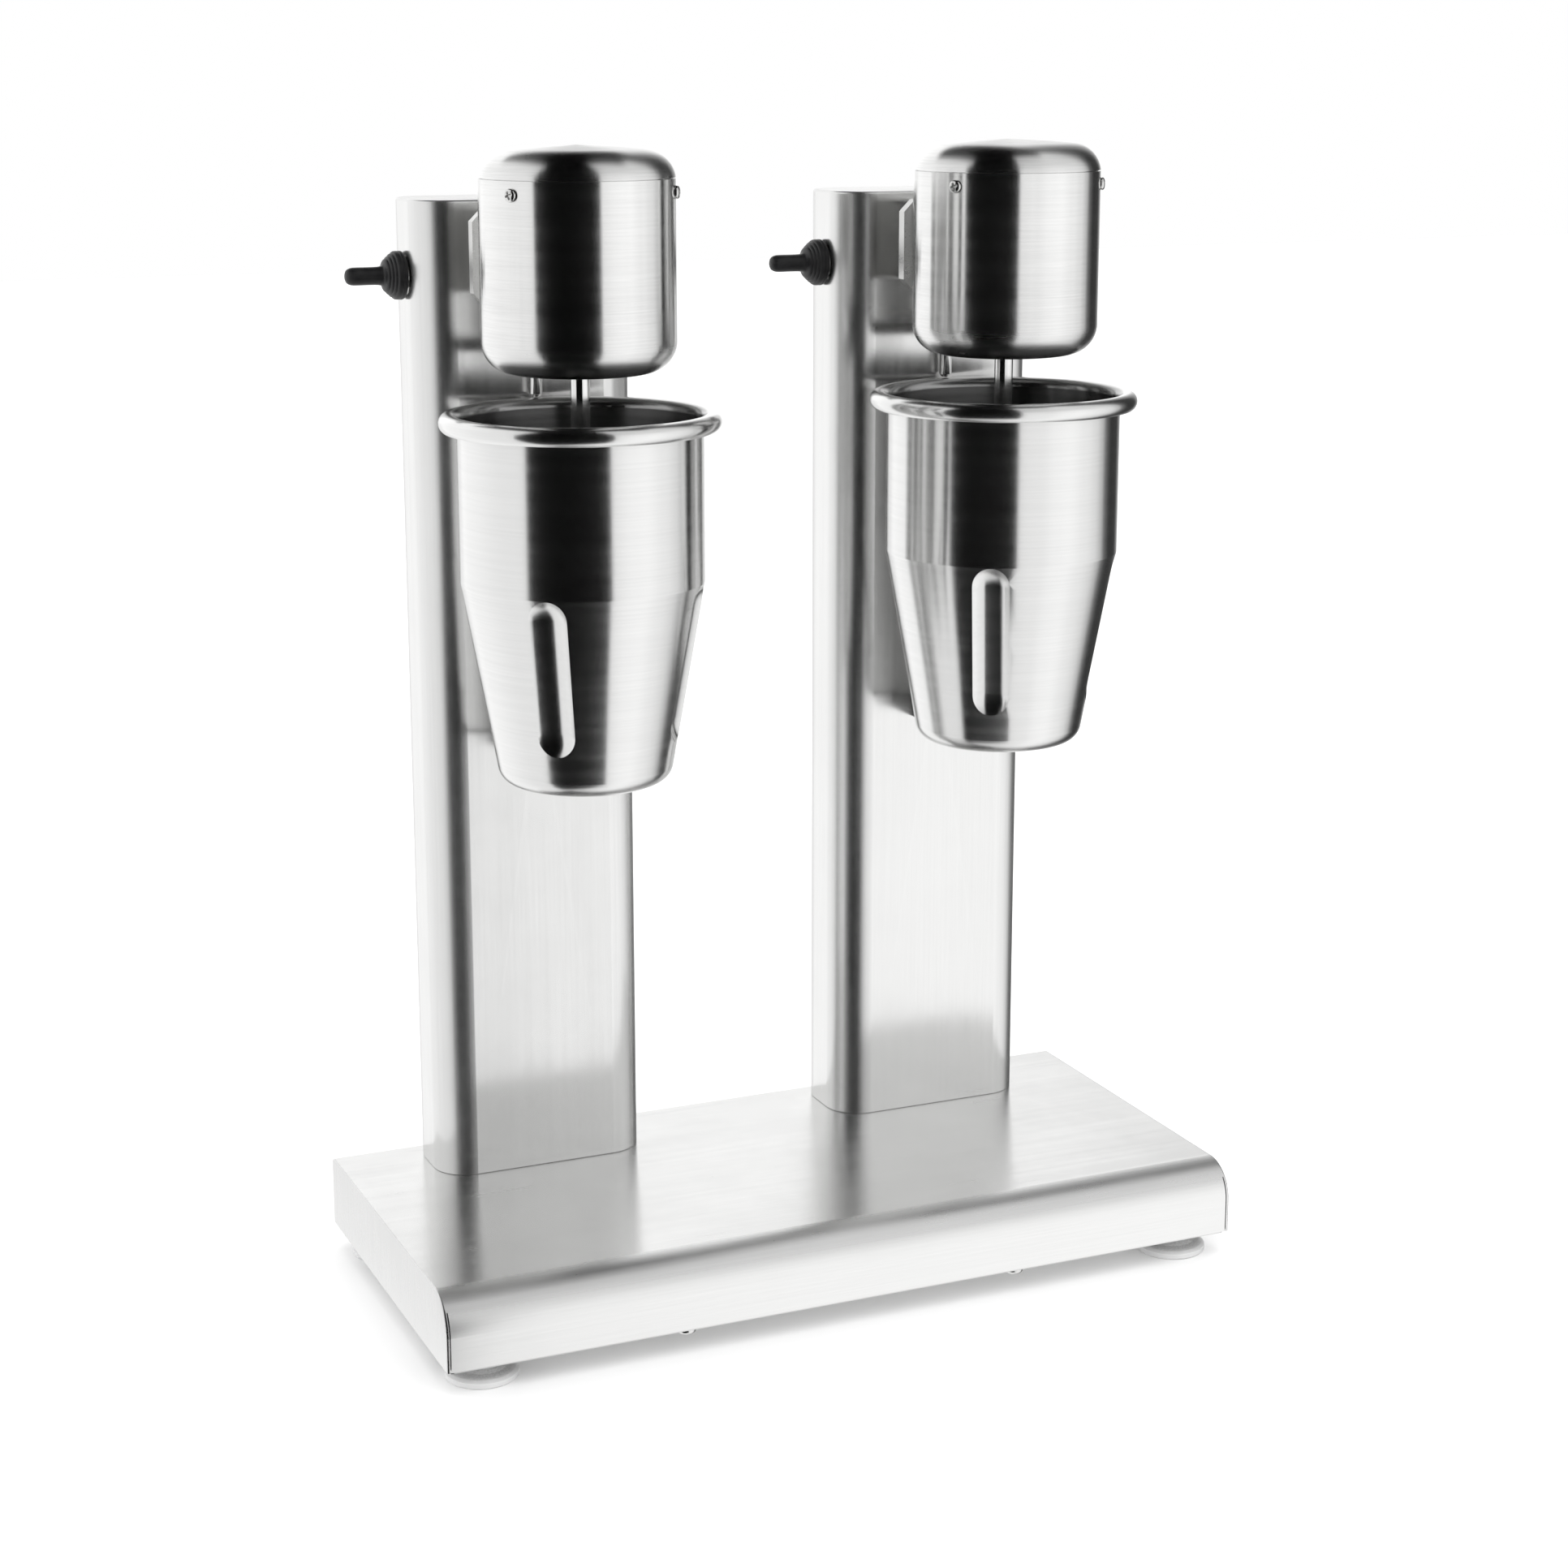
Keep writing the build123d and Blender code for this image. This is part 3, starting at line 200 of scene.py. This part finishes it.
def brushed(name, color, roughness, anisotropy, grain, across=0.3, along=40, contrast=0.05,
            rough_spread=0.04, relief=0.025, smudge=0.015, edge=0.25, inner_shade_share=1.0):
    """Brushed stainless steel. grain is the brushing direction: up, sideways or around.
    across and along are the width and length of a brush line, in millimetres. The last argument,
    for grain "around" only, is the share of the colour left on surfaces that face the spindle: painted
    shade that darkens the interior of a cup."""
    material, tree, shader = start_material(name)
    place = object_place(tree)
    geometry = add(tree, "ShaderNodeNewGeometry").outputs
    x, y, z = separate(tree, place)
    normal = geometry["Normal"]
    normal_x, normal_y, normal_z = separate(tree, normal)
    fine = 1 / (across * MM)
    long = 1 / (along * MM)
    w = 0.0
    if grain == "around":
        axis_x = calc(tree, "MULTIPLY", calc(tree, "SIGN", x), unit_x)
        local_x = calc(tree, "SUBTRACT", x, axis_x)
        local_y = calc(tree, "SUBTRACT", y, spindle_y)
        radius = calc(tree, "SQRT", calc(tree, "ADD", calc(tree, "MULTIPLY", local_x, local_x),
                                         calc(tree, "MULTIPLY", local_y, local_y)))
        safe = calc(tree, "MAXIMUM", radius, 1e-5)
        turn = head_radius * long
        around_x = calc(tree, "MULTIPLY", calc(tree, "DIVIDE", local_x, safe), turn)
        around_y = calc(tree, "MULTIPLY", calc(tree, "DIVIDE", local_y, safe), turn)
        brush = combine(tree, around_x, around_y, calc(tree, "MULTIPLY", z, fine))
        w = calc(tree, "MULTIPLY", radius, fine)
        direction = combine(tree, calc(tree, "MULTIPLY", local_y, -1.0), local_x, 0.0)
    elif grain == "up":
        flat = calc(tree, "GREATER_THAN", calc(tree, "ABSOLUTE", normal_z), FACES_AXIS)
        lengthwise = calc(tree, "MULTIPLY", z, blend_value(tree, flat, long, fine))
        crosswise = calc(tree, "MULTIPLY", x, blend_value(tree, flat, fine, long))
        brush = combine(tree, crosswise, calc(tree, "MULTIPLY", y, fine), lengthwise)
        direction = combine(tree, flat, 0.0, calc(tree, "SUBTRACT", 1.0, flat))
    else:
        end = calc(tree, "GREATER_THAN", calc(tree, "ABSOLUTE", normal_x), FACES_AXIS)
        lengthwise = calc(tree, "MULTIPLY", x, blend_value(tree, end, long, fine))
        upwards = calc(tree, "MULTIPLY", z, blend_value(tree, end, fine, long))
        brush = combine(tree, lengthwise, calc(tree, "MULTIPLY", y, fine), upwards)
        direction = combine(tree, calc(tree, "SUBTRACT", 1.0, end), 0.0, end)
    direction = add(tree, "ShaderNodeVectorTransform", {0: direction}, vector_type="VECTOR",
                    convert_from="OBJECT", convert_to="WORLD").outputs[0]
    tangent = vector_calc(tree, "NORMALIZE", vector_calc(tree, "CROSS_PRODUCT", normal, direction))

    hair = noise(tree, brush, 1.0, detail=3.0, roughness=0.6, w=w)
    streak = noise(tree, brush, 0.21, detail=2.0, w=w)
    cloud = noise(tree, place, 28.0, detail=3.0)
    mottle = noise(tree, place, 160.0, detail=2.0)
    lines = calc(tree, "ADD", calc(tree, "MULTIPLY", hair, 0.6), calc(tree, "MULTIPLY", streak, 0.4))
    worn = worn_edges(tree, geometry)
    shade = ramp(tree, lines, 0.3, 0.7)
    base = blend_color(tree, shade, rgb(color, 1 - contrast), rgb(color, 1 + contrast / 2))
    base = blend_color(tree, ramp(tree, cloud, 0.35, 0.7, 0.0, smudge * 2), base, rgb(color, 0.82))
    base = blend_color(tree, calc(tree, "MULTIPLY", worn, edge), base, rgb((0.93, 0.93, 0.92)))
    # Painted shade: surfaces that face the spindle, such as a cup's interior, get a darker colour.
    if inner_shade_share < 1:
        outwards = calc(tree, "ADD", calc(tree, "MULTIPLY", normal_x, local_x),
                        calc(tree, "MULTIPLY", normal_y, local_y))
        painted_inner_shade = ramp(tree, calc(tree, "DIVIDE", outwards, safe), -0.3, -0.6)
        base = blend_color(tree, painted_inner_shade, base, rgb(color, inner_shade_share))
    rough = ramp(tree, streak, 0.3, 0.7, roughness - rough_spread / 2, roughness + rough_spread / 2)
    rough = calc(tree, "ADD", rough, ramp(tree, cloud, 0.35, 0.7, -smudge / 2, smudge))
    rough = calc(tree, "ADD", rough, ramp(tree, mottle, 0.4, 0.7, 0.0, smudge / 2))
    rough = calc(tree, "SUBTRACT", rough, calc(tree, "MULTIPLY", worn, 0.04), clamp=True)
    feed(tree, shader, Base_Color=base, Metallic=1.0, Roughness=rough, Anisotropic=anisotropy,
         Tangent=tangent, Normal=bump(tree, lines, relief, 0.02 * MM))
    return material


def plain_metal(name, color, roughness, stretch=(1, 1, 1), grain=0.6, contrast=0.12, relief=0.15,
                pits=0.0, tint=None):
    """Metal without a strong brushing direction: machined, plated, cast or pressed."""
    material, tree, shader = start_material(name)
    place = object_place(tree)
    geometry = add(tree, "ShaderNodeNewGeometry").outputs
    stretched = vector_calc(tree, "MULTIPLY", place, Vector(stretch))
    fine = noise(tree, stretched, 1 / (grain * MM), detail=3.0)
    cloud = noise(tree, place, 70.0, detail=3.0)
    worn = worn_edges(tree, geometry)
    base = blend_color(tree, ramp(tree, fine, 0.3, 0.7),
                       rgb(color, 1 - contrast), rgb(color, 1 + contrast / 2))
    base = blend_color(tree, ramp(tree, cloud, 0.4, 0.75, 0.0, 0.35), base, rgb(tint or color, 0.8))
    base = blend_color(tree, calc(tree, "MULTIPLY", worn, 0.35), base, rgb(color, 1.15))
    rough = ramp(tree, fine, 0.3, 0.7, roughness * 0.8, roughness * 1.2)
    rough = calc(tree, "ADD", rough, ramp(tree, cloud, 0.35, 0.7, -0.03, 0.05), clamp=True)
    height = calc(tree, "ADD", fine, calc(tree, "MULTIPLY", cloud, pits))
    feed(tree, shader, Base_Color=base, Metallic=1.0, Roughness=rough,
         Normal=bump(tree, height, relief, 0.05 * MM))
    return material


def layered(name, color, gap_color, pitch, roughness, metallic, relief=0.5):
    """Stacked sheets or turns of wire: regular lines up the height, uneven in tone."""
    material, tree, shader = start_material(name)
    place = object_place(tree)
    _, _, z = separate(tree, place)
    wobble = noise(tree, place, 300.0, detail=1.0)
    phase = calc(tree, "ADD", calc(tree, "MULTIPLY", z, 2 * pi / (pitch * MM)), wobble)
    ridge = ramp(tree, calc(tree, "SINE", phase), -1.0, 1.0)
    tone = noise(tree, vector_calc(tree, "MULTIPLY", place, Vector((60, 60, 1 / (pitch * MM)))), 1.0)
    base = blend_color(tree, ramp(tree, ridge, 0.1, 0.5), rgb(gap_color), rgb(color))
    base = blend_color(tree, ramp(tree, tone, 0.35, 0.7, 0.0, 0.5), base, rgb(color, 0.7))
    rough = ramp(tree, tone, 0.3, 0.7, roughness * 0.8, roughness * 1.25)
    feed(tree, shader, Base_Color=base, Metallic=metallic, Roughness=rough,
         Normal=bump(tree, ridge, relief, 0.1 * MM))
    return material


def rubber(name, color, dust, roughness, grain=0.25, relief=0.25):
    material, tree, shader = start_material(name)
    place = object_place(tree)
    geometry = add(tree, "ShaderNodeNewGeometry").outputs
    fine = noise(tree, place, 1 / (grain * MM), detail=3.0)
    cloud = noise(tree, place, 220.0, detail=3.0)
    worn = worn_edges(tree, geometry, 0.51, 0.58)
    base = blend_color(tree, ramp(tree, cloud, 0.35, 0.75, 0.0, 0.6), rgb(color), rgb(dust))
    base = blend_color(tree, calc(tree, "MULTIPLY", worn, 0.4), base, rgb(dust, 1.3))
    rough = ramp(tree, fine, 0.3, 0.7, roughness - 0.06, roughness + 0.08)
    rough = calc(tree, "ADD", rough, ramp(tree, cloud, 0.3, 0.7, -0.04, 0.06), clamp=True)
    feed(tree, shader, Base_Color=base, Roughness=rough, Specular_IOR_Level=0.4,
         Normal=bump(tree, fine, relief, 0.04 * MM))
    return material


def clear_rubber(name):
    """Pale translucent moulded rubber with fine speckle."""
    material, tree, shader = start_material(name)
    place = object_place(tree)
    geometry = add(tree, "ShaderNodeNewGeometry").outputs
    fine = noise(tree, place, 1400.0, detail=3.0)
    cloud = noise(tree, place, 240.0, detail=3.0)
    rim = worn_edges(tree, geometry, 0.5, 0.57)
    base = blend_color(tree, ramp(tree, fine, 0.35, 0.65),
                       rgb((0.36, 0.36, 0.36)), rgb((0.5, 0.5, 0.5)))
    base = blend_color(tree, ramp(tree, cloud, 0.4, 0.7, 0.0, 0.5), base, rgb((0.44, 0.44, 0.435)))
    base = blend_color(tree, rim, base, rgb((0.62, 0.62, 0.62)))
    rough = ramp(tree, fine, 0.3, 0.7, 0.28, 0.45)
    feed(tree, shader, Base_Color=base, Roughness=rough, Subsurface_Weight=0.35,
         Subsurface_Radius=Vector((1, 1, 1)), Subsurface_Scale=2 * MM,
         Normal=bump(tree, fine, 0.3, 0.06 * MM))
    return material


STEEL = (0.77, 0.77, 0.765)
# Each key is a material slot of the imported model.
materials = {
    "head_steel": brushed("head_steel", STEEL, 0.25, 0.9, "around", across=0.8, along=30, contrast=0.1),
    # The cups get painted shade: their spindle-facing walls keep 0.45 of the colour.
    "cup_steel": brushed("cup_steel", STEEL, 0.22, 0.85, "around", across=0.9, along=60, contrast=0.05,
                         relief=0.015, smudge=0.01, inner_shade_share=0.45),
    "column_steel": brushed("column_steel", STEEL, 0.24, 0.8, "up", across=0.8, along=70, contrast=0.04),
    "base_steel": brushed("base_steel", STEEL, 0.28, 0.9, "sideways", across=0.8, along=60,
                          contrast=0.05),
    "neck_steel": plain_metal("neck_steel", (0.62, 0.62, 0.61), 0.32, grain=0.5, contrast=0.1),
    "polished_steel": plain_metal("polished_steel", (0.76, 0.76, 0.755), 0.12, (0.3, 0.3, 3),
                                  grain=0.6, contrast=0.05, relief=0.06),
    "agitator_steel": plain_metal("agitator_steel", (0.74, 0.74, 0.73), 0.18, grain=0.7, contrast=0.08),
    "plate_steel": brushed("plate_steel", (0.6, 0.6, 0.595), 0.36, 0.5, "sideways", across=0.6, along=30,
                           contrast=0.12),
    "bright_steel": plain_metal("bright_steel", (0.68, 0.68, 0.67), 0.2, (1, 1, 3), grain=0.5,
                                contrast=0.1),
    "fastener_steel": plain_metal("fastener_steel", (0.7, 0.7, 0.69), 0.18, grain=0.35,
                                  contrast=0.1, relief=0.2),
    "brass": plain_metal("brass", (0.72, 0.56, 0.27), 0.28, grain=0.5, contrast=0.15,
                         tint=(0.5, 0.36, 0.2)),
    "aluminium": plain_metal("aluminium", (0.66, 0.67, 0.68), 0.42, grain=0.8, contrast=0.12,
                             relief=0.45, pits=0.5),
    "carbon": plain_metal("carbon", (0.07, 0.07, 0.075), 0.5, grain=0.3, contrast=0.3,
                          relief=0.4, pits=0.4),
    "copper": layered("copper", (0.62, 0.27, 0.13), (0.2, 0.07, 0.03), 0.7, 0.3, 0.9),
    "lamination": layered("lamination", (0.36, 0.36, 0.37), (0.1, 0.1, 0.11), 0.5, 0.42, 0.9),
    "black_rubber": rubber("black_rubber", (0.006, 0.006, 0.007), (0.02, 0.02, 0.02), 0.42),
    "black_plastic": rubber("black_plastic", (0.012, 0.012, 0.012), (0.03, 0.03, 0.03), 0.38,
                            grain=0.4, relief=0.15),
    "clear_rubber": clear_rubber("clear_rubber"),
}


def dress(piece, slot_name):
    piece.data.materials.clear()
    piece.data.materials.append(materials[slot_name])


for part in record["subparts"]:
    dress(nodes[part["node"]], part["material_slot"])


# ---------------------------------------------------------------------------
# Pieces that take the place of plain CAD shapes
# ---------------------------------------------------------------------------
def new_piece(name, vertices, faces, slot_name, smooth=True):
    mesh = bpy.data.meshes.new(name)
    mesh.from_pydata([tuple(v) for v in vertices], [], faces)
    mesh.validate()
    mesh.polygons.foreach_set("use_smooth", [smooth] * len(mesh.polygons))
    mesh.update()
    piece = bpy.data.objects.new(name, mesh)
    bpy.context.scene.collection.objects.link(piece)
    dress(piece, slot_name)
    return piece


def ring_faces(rows, around):
    """Faces between rings of vertices that are stored one after another."""
    faces = []
    for row in range(rows - 1):
        for step in range(around):
            after = (step + 1) % around
            faces.append((row * around + step, row * around + after,
                          (row + 1) * around + after, (row + 1) * around + step))
    return faces


def lathe(profile, place, steps=72):
    """Turns a profile of (radius, height) about local Z and moves it by place."""
    vertices = []
    for radius, height in profile:
        for step in range(steps):
            angle = 2 * pi * step / steps
            vertices.append(place @ Vector((radius * cos(angle), radius * sin(angle), height)))
    return vertices, ring_faces(len(profile), steps)


def rounded(points, cuts=4, share=0.42):
    """Softens a profile: each corner becomes a curve over this share of its two sides."""
    softened = [points[0]]
    for before, corner, after in zip(points, points[1:], points[2:]):
        a, b, c = Vector(before), Vector(corner), Vector(after)
        start = b.lerp(a, share)
        end = b.lerp(c, share)
        for step in range(cuts + 1):
            t = step / cuts
            softened.append(tuple(start.lerp(b, t).lerp(b.lerp(end, t), t)))
    softened.append(points[-1])
    return softened


# Rubber boot of each toggle switch: one skin from the ribbed skirt to the lever's tip.
# Points are (radius, distance out from the column's side), in millimetres.
boot_profile = [
    (8.75, 1.15), (9.75, 1.15), (9.78, 2.3), (9.5, 2.55), (9.78, 2.8), (9.7, 4.35), (8.9, 4.75),
    (8.35, 4.85), (8.75, 5.1), (8.65, 5.75), (7.9, 6.0), (7.35, 6.1), (7.7, 6.35), (7.6, 6.95),
    (6.9, 7.2), (6.35, 7.3), (6.65, 7.55), (6.5, 8.1), (5.9, 8.4), (4.7, 8.75), (3.9, 9.3),
    (3.55, 10.2), (3.3, 11.8), (3.25, 16.0), (3.3, 21.5), (3.15, 23.2), (2.5, 24.6), (1.3, 25.1),
    (0.01, 25.15),
]
boot_thickness = 0.5 * MM
for side in SIDES:
    skirt_low, skirt_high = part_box(f"{side}_boot_skirt")
    column_low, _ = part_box(f"{side}_column")
    center = (skirt_low + skirt_high) / 2
    place = Matrix.Translation((column_low.x, center.y, center.z)) @ Matrix.Rotation(-pi / 2, 4, "Y")
    profile = [(r * MM, out * MM) for r, out in rounded(boot_profile)]
    vertices, faces = lathe(profile, place)
    boot = new_piece(f"{side}_toggle_boot", vertices, [face[::-1] for face in faces], "black_rubber")
    thick = boot.modifiers.new("skin", "SOLIDIFY")
    thick.thickness = boot_thickness
    thick.offset = -1
    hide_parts(f"{side}_boot_skirt", f"{side}_boot_sleeve")
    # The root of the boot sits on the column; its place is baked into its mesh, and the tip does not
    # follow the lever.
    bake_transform(boot)


# Cap screws: pan heads with a cross recess, three on each head, each turned a little further.
screw_radius, screw_height = 2.75 * MM, 1.85 * MM
first_screw_turn, next_screw_turn = 20, 35


def pan_head(radius, height, place, rings=18, steps=64):
    """A domed head as a fine polar grid, with a cross recess sunk into it. arm is half the width of
    the cross, reach its half length. A row without a height of its own lies on the dome."""
    vertices = []
    arm, reach, depth = 0.16 * radius, 0.62 * radius, 0.6 * height
    rows = [(radius, 0.0), (radius, 0.35 * height)]
    rows += [(radius * (1 - step / rings), None) for step in range(1, rings)]
    rows.append((0.001 * radius, None))
    for distance, fixed in rows:
        for step in range(steps):
            angle = 2 * pi * step / steps
            px, py = distance * cos(angle), distance * sin(angle)
            share = distance / radius
            top = height * (0.4 + 0.6 * (1 - share ** 2.8) ** 0.6) if fixed is None else fixed
            inner, outer = sorted((abs(px), abs(py)))
            if fixed is None:
                within_arm = min(1, max(0, (arm - inner) / (0.35 * arm)))
                within_reach = min(1, max(0, (reach - outer) / (0.3 * reach)))
                top -= depth * (within_arm * within_reach)
            vertices.append(place @ Vector((px, py, top)))
    return vertices, ring_faces(len(rows), steps)


screw_vertices, screw_faces = [], []
for side in SIDES:
    for turn, angle in enumerate(cap_screw_angles):
        outwards = Vector((cos(radians(angle)), sin(radians(angle)), 0))
        seat = Vector((head[side].x, spindle_y, cap_screw_z)) + outwards * head_radius
        spin = Matrix.Rotation(radians(first_screw_turn + next_screw_turn * turn), 4, "Z")
        facing = outwards.to_track_quat("Z", "Y").to_matrix().to_4x4()
        vertices, faces = pan_head(screw_radius, screw_height,
                                   Matrix.Translation(seat) @ facing @ spin)
        first = len(screw_vertices)
        screw_vertices += vertices
        screw_faces += [tuple(first + corner for corner in face) for face in faces]
screws = new_piece("cap_screw_heads", screw_vertices, screw_faces, "fastener_steel")
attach(screws, "root")
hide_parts("cap_screws")


# Plunger springs: wire coils at one fixed length, though on the machine they close up as the plunger
# rises.
wire_radius = 0.35 * MM
spring_turns, steps_per_turn, wire_sides = 3, 40, 14
for side in SIDES:
    spring_low, spring_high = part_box(f"{side}_plunger_spring")
    middle_x, middle_y = (spring_low.x + spring_high.x) / 2, (spring_low.y + spring_high.y) / 2
    coil_radius = (spring_high.x - spring_low.x) / 2 - wire_radius
    rise = spring_high.z - spring_low.z - 2 * wire_radius
    rows = spring_turns * steps_per_turn + 1
    vertices, faces = [], []
    for row in range(rows):
        angle = 2 * pi * row / steps_per_turn
        outwards = Vector((cos(angle), sin(angle), 0))
        core_z = spring_low.z + wire_radius + rise * row / (rows - 1)
        core = Vector((middle_x, middle_y, core_z)) + outwards * coil_radius
        for corner in range(wire_sides):
            turn = 2 * pi * corner / wire_sides
            vertices.append(core + wire_radius * (outwards * cos(turn) + Vector((0, 0, sin(turn)))))
    for row in range(rows - 1):
        for corner in range(wire_sides):
            after = (corner + 1) % wire_sides
            faces.append((row * wire_sides + corner, (row + 1) * wire_sides + corner,
                          (row + 1) * wire_sides + after, row * wire_sides + after))
    last = (rows - 1) * wire_sides
    faces.append(tuple(range(wire_sides)))
    faces.append(tuple(reversed(range(last, last + wire_sides))))
    slot = next(part["material_slot"] for part in record["subparts"]
                if part["node"] == f"{side}_plunger_spring")
    spring = new_piece(f"{side}_spring_coil", vertices, faces, slot)
    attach(spring, "root")
    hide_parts(f"{side}_plunger_spring")
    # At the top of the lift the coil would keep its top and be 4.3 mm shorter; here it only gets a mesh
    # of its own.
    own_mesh(spring)


# ---------------------------------------------------------------------------
# Floor
# ---------------------------------------------------------------------------
floor_material, floor_tree, floor_shader = start_material("floor_paper")
floor_place = object_place(floor_tree)
floor_tone = ramp(floor_tree, noise(floor_tree, floor_place, 3.0), 0.3, 0.7)
feed(floor_tree, floor_shader, Roughness=0.9, Specular_IOR_Level=0.1,
     Base_Color=blend_color(floor_tree, floor_tone, rgb((0.9, 0.9, 0.9)), rgb((0.92, 0.92, 0.92))))
floor_mesh = bpy.data.meshes.new("floor")
floor_size = 6.0
floor_mesh.from_pydata([(-floor_size, -floor_size, 0), (floor_size, -floor_size, 0),
                        (floor_size, floor_size, 0), (-floor_size, floor_size, 0)], [], [(0, 1, 2, 3)])
floor_mesh.materials.append(floor_material)
floor = bpy.data.objects.new("floor", floor_mesh)
bpy.context.scene.collection.objects.link(floor)
floor.visible_glossy = False

# ---------------------------------------------------------------------------
# Studio: a bright room, dark at the right, with two black flags that only reflections see: one at
# the front left and one overhead. The bearing is 0 towards the front of the machine and 90 towards
# its left; the elevation is 0 at the horizon and 90 overhead. Both are in degrees.
# ---------------------------------------------------------------------------
FRONT_DIM = 0.32       # share of light lost high up in front
REAR_DIM = 0.28        # share of light lost low down behind
DIFFUSE_LEVEL = 1.45   # world strength for diffuse rays
CAMERA_LEVEL = 1.0     # world strength behind the machine, as the camera sees it

world = bpy.data.worlds.new("studio")
bpy.context.scene.world = world
world.use_nodes = True
# Light sampled straight from the world would pass through the flags, which cast no shadow.
world.cycles.sampling_method = "NONE"
tree = world.node_tree
tree.nodes.clear()
toward = add(tree, "ShaderNodeTexCoord").outputs["Generated"]
wx, wy, wz = separate(tree, toward)
bearing = calc(tree, "MULTIPLY", calc(tree, "ARCTAN2", calc(tree, "MULTIPLY", wx, -1.0),
                                      calc(tree, "MULTIPLY", wy, -1.0)), 180 / pi)
# Brightness of the room by bearing.
room = [(-180, 1.3), (-150, 1.25), (-138, 0.4), (-124, 0.05), (-106, 0.04), (-96, 0.14), (-88, 0.65),
        (-78, 0.92), (-64, 1.06), (-42, 1.2), (-28, 1.16), (-10, 1.04), (40, 0.9),
        (90, 1.0), (150, 1.16), (180, 1.3)]
level = None
for (low, low_level), (high, high_level) in zip(room, room[1:]):
    step = ramp(tree, bearing, low, high, 0.0, high_level - low_level, smooth=True)
    level = calc(tree, "ADD", room[0][1] if level is None else level, step)
elevation = calc(tree, "MULTIPLY", calc(tree, "ARCSINE", wz), 180 / pi)
front = ramp(tree, wy, 0.0, -0.5)
dim = calc(tree, "MULTIPLY", front, ramp(tree, elevation, 5, 40, 0.0, FRONT_DIM, smooth=True))
level = calc(tree, "MULTIPLY", level, calc(tree, "SUBTRACT", 1.0, dim))
rear = ramp(tree, calc(tree, "ABSOLUTE", bearing), 162, 176, smooth=True)
dim = calc(tree, "MULTIPLY", rear, ramp(tree, elevation, 6, -6, 0.0, REAR_DIM))
level = calc(tree, "MULTIPLY", level, calc(tree, "SUBTRACT", 1.0, dim))
light_path = add(tree, "ShaderNodeLightPath").outputs
level = blend_value(tree, light_path["Is Diffuse Ray"], level, DIFFUSE_LEVEL)
level = blend_value(tree, light_path["Is Camera Ray"], level, CAMERA_LEVEL)
background = add(tree, "ShaderNodeBackground", {"Color": (1, 1, 1, 1), "Strength": level})
world_output = add(tree, "ShaderNodeOutputWorld")
tree.links.new(background.outputs[0], world_output.inputs[0])


def flag(name, corners, fade):
    """A sheet of black cloth that thins out over this share of its size towards each edge."""
    material, tree, shader = start_material(f"{name}_cloth")
    u, v, _ = separate(tree, add(tree, "ShaderNodeTexCoord").outputs["UV"])
    weave = noise(tree, object_place(tree), 900.0)
    cover = 1.0
    for across in (u, v):
        edge = calc(tree, "SUBTRACT", 0.5, calc(tree, "ABSOLUTE", calc(tree, "SUBTRACT", across, 0.5)))
        cover = calc(tree, "MULTIPLY", cover, ramp(tree, edge, 0.0, fade, smooth=True))
    feed(tree, shader, Roughness=1.0, Specular_IOR_Level=0.0, Alpha=cover,
         Base_Color=blend_color(tree, weave, rgb((0.001, 0.001, 0.001)), rgb((0.004, 0.004, 0.004))))
    mesh = bpy.data.meshes.new(name)
    mesh.from_pydata(corners, [], [(0, 1, 2, 3)])
    layer = mesh.uv_layers.new(name="UVMap")
    for loop, place in enumerate(((0, 0), (1, 0), (1, 1), (0, 1))):
        layer.data[loop].uv = place
    mesh.materials.append(material)
    sheet = bpy.data.objects.new(name, mesh)
    bpy.context.scene.collection.objects.link(sheet)
    for kind in ("camera", "diffuse", "transmission", "shadow"):
        setattr(sheet, f"visible_{kind}", False)


side_back, side_front = (-0.352, -0.119), (-0.029, -0.612)
side_bottom, side_top = -0.25, 2.6
flag("side_flag", [(*side_back, side_bottom), (*side_front, side_bottom),
                   (*side_front, side_top), (*side_back, side_top)], fade=0.025)
overhead_corners = [(-0.65, -0.4), (0.45, -0.4), (0.45, 0.95), (-0.65, 0.95)]
overhead_height = 1.2
flag("overhead_flag", [(*corner, overhead_height) for corner in overhead_corners], fade=0.15)


def soft_light(name, place, target, size, power):
    """A square area light that reflections don't see."""
    lamp = bpy.data.lights.new(name, "AREA")
    lamp.shape = "SQUARE"
    lamp.size = size
    lamp.energy = power
    light = bpy.data.objects.new(name, lamp)
    light.location = place
    light.rotation_euler = (Vector(target) - Vector(place)).to_track_quat("-Z", "Y").to_euler()
    light.visible_glossy = False
    bpy.context.scene.collection.objects.link(light)


soft_light("top_light", (0.0, 0.1, 2.6), (0, 0, 0), 3.2, 5)
soft_light("left_light", (-1.8, -0.9, 1.5), (0, 0, 0.2), 1.4, 3)
soft_light("right_light", (1.9, -0.7, 1.4), (0, 0, 0.2), 1.4, 4)

# ---------------------------------------------------------------------------
# Camera
# ---------------------------------------------------------------------------
camera_offset = Vector((-0.5003, -1.1486, 0.2857))   # metres from the machine's centre
camera_tilt_down, camera_turn = 12.909, -23.647      # degrees
center = (Vector(cad_bounds[0]) + Vector(cad_bounds[1])) / 2
camera_data = bpy.data.cameras.new("camera")
camera_data.sensor_width = 36
camera_data.lens = 67.15
camera_data.shift_y = -0.04
camera = bpy.data.objects.new("camera", camera_data)
camera.location = center + camera_offset
camera.rotation_euler = (radians(90 - camera_tilt_down), 0, radians(camera_turn))
bpy.context.scene.collection.objects.link(camera)
bpy.context.scene.camera = camera
bpy.context.scene.view_settings.view_transform = "Standard"
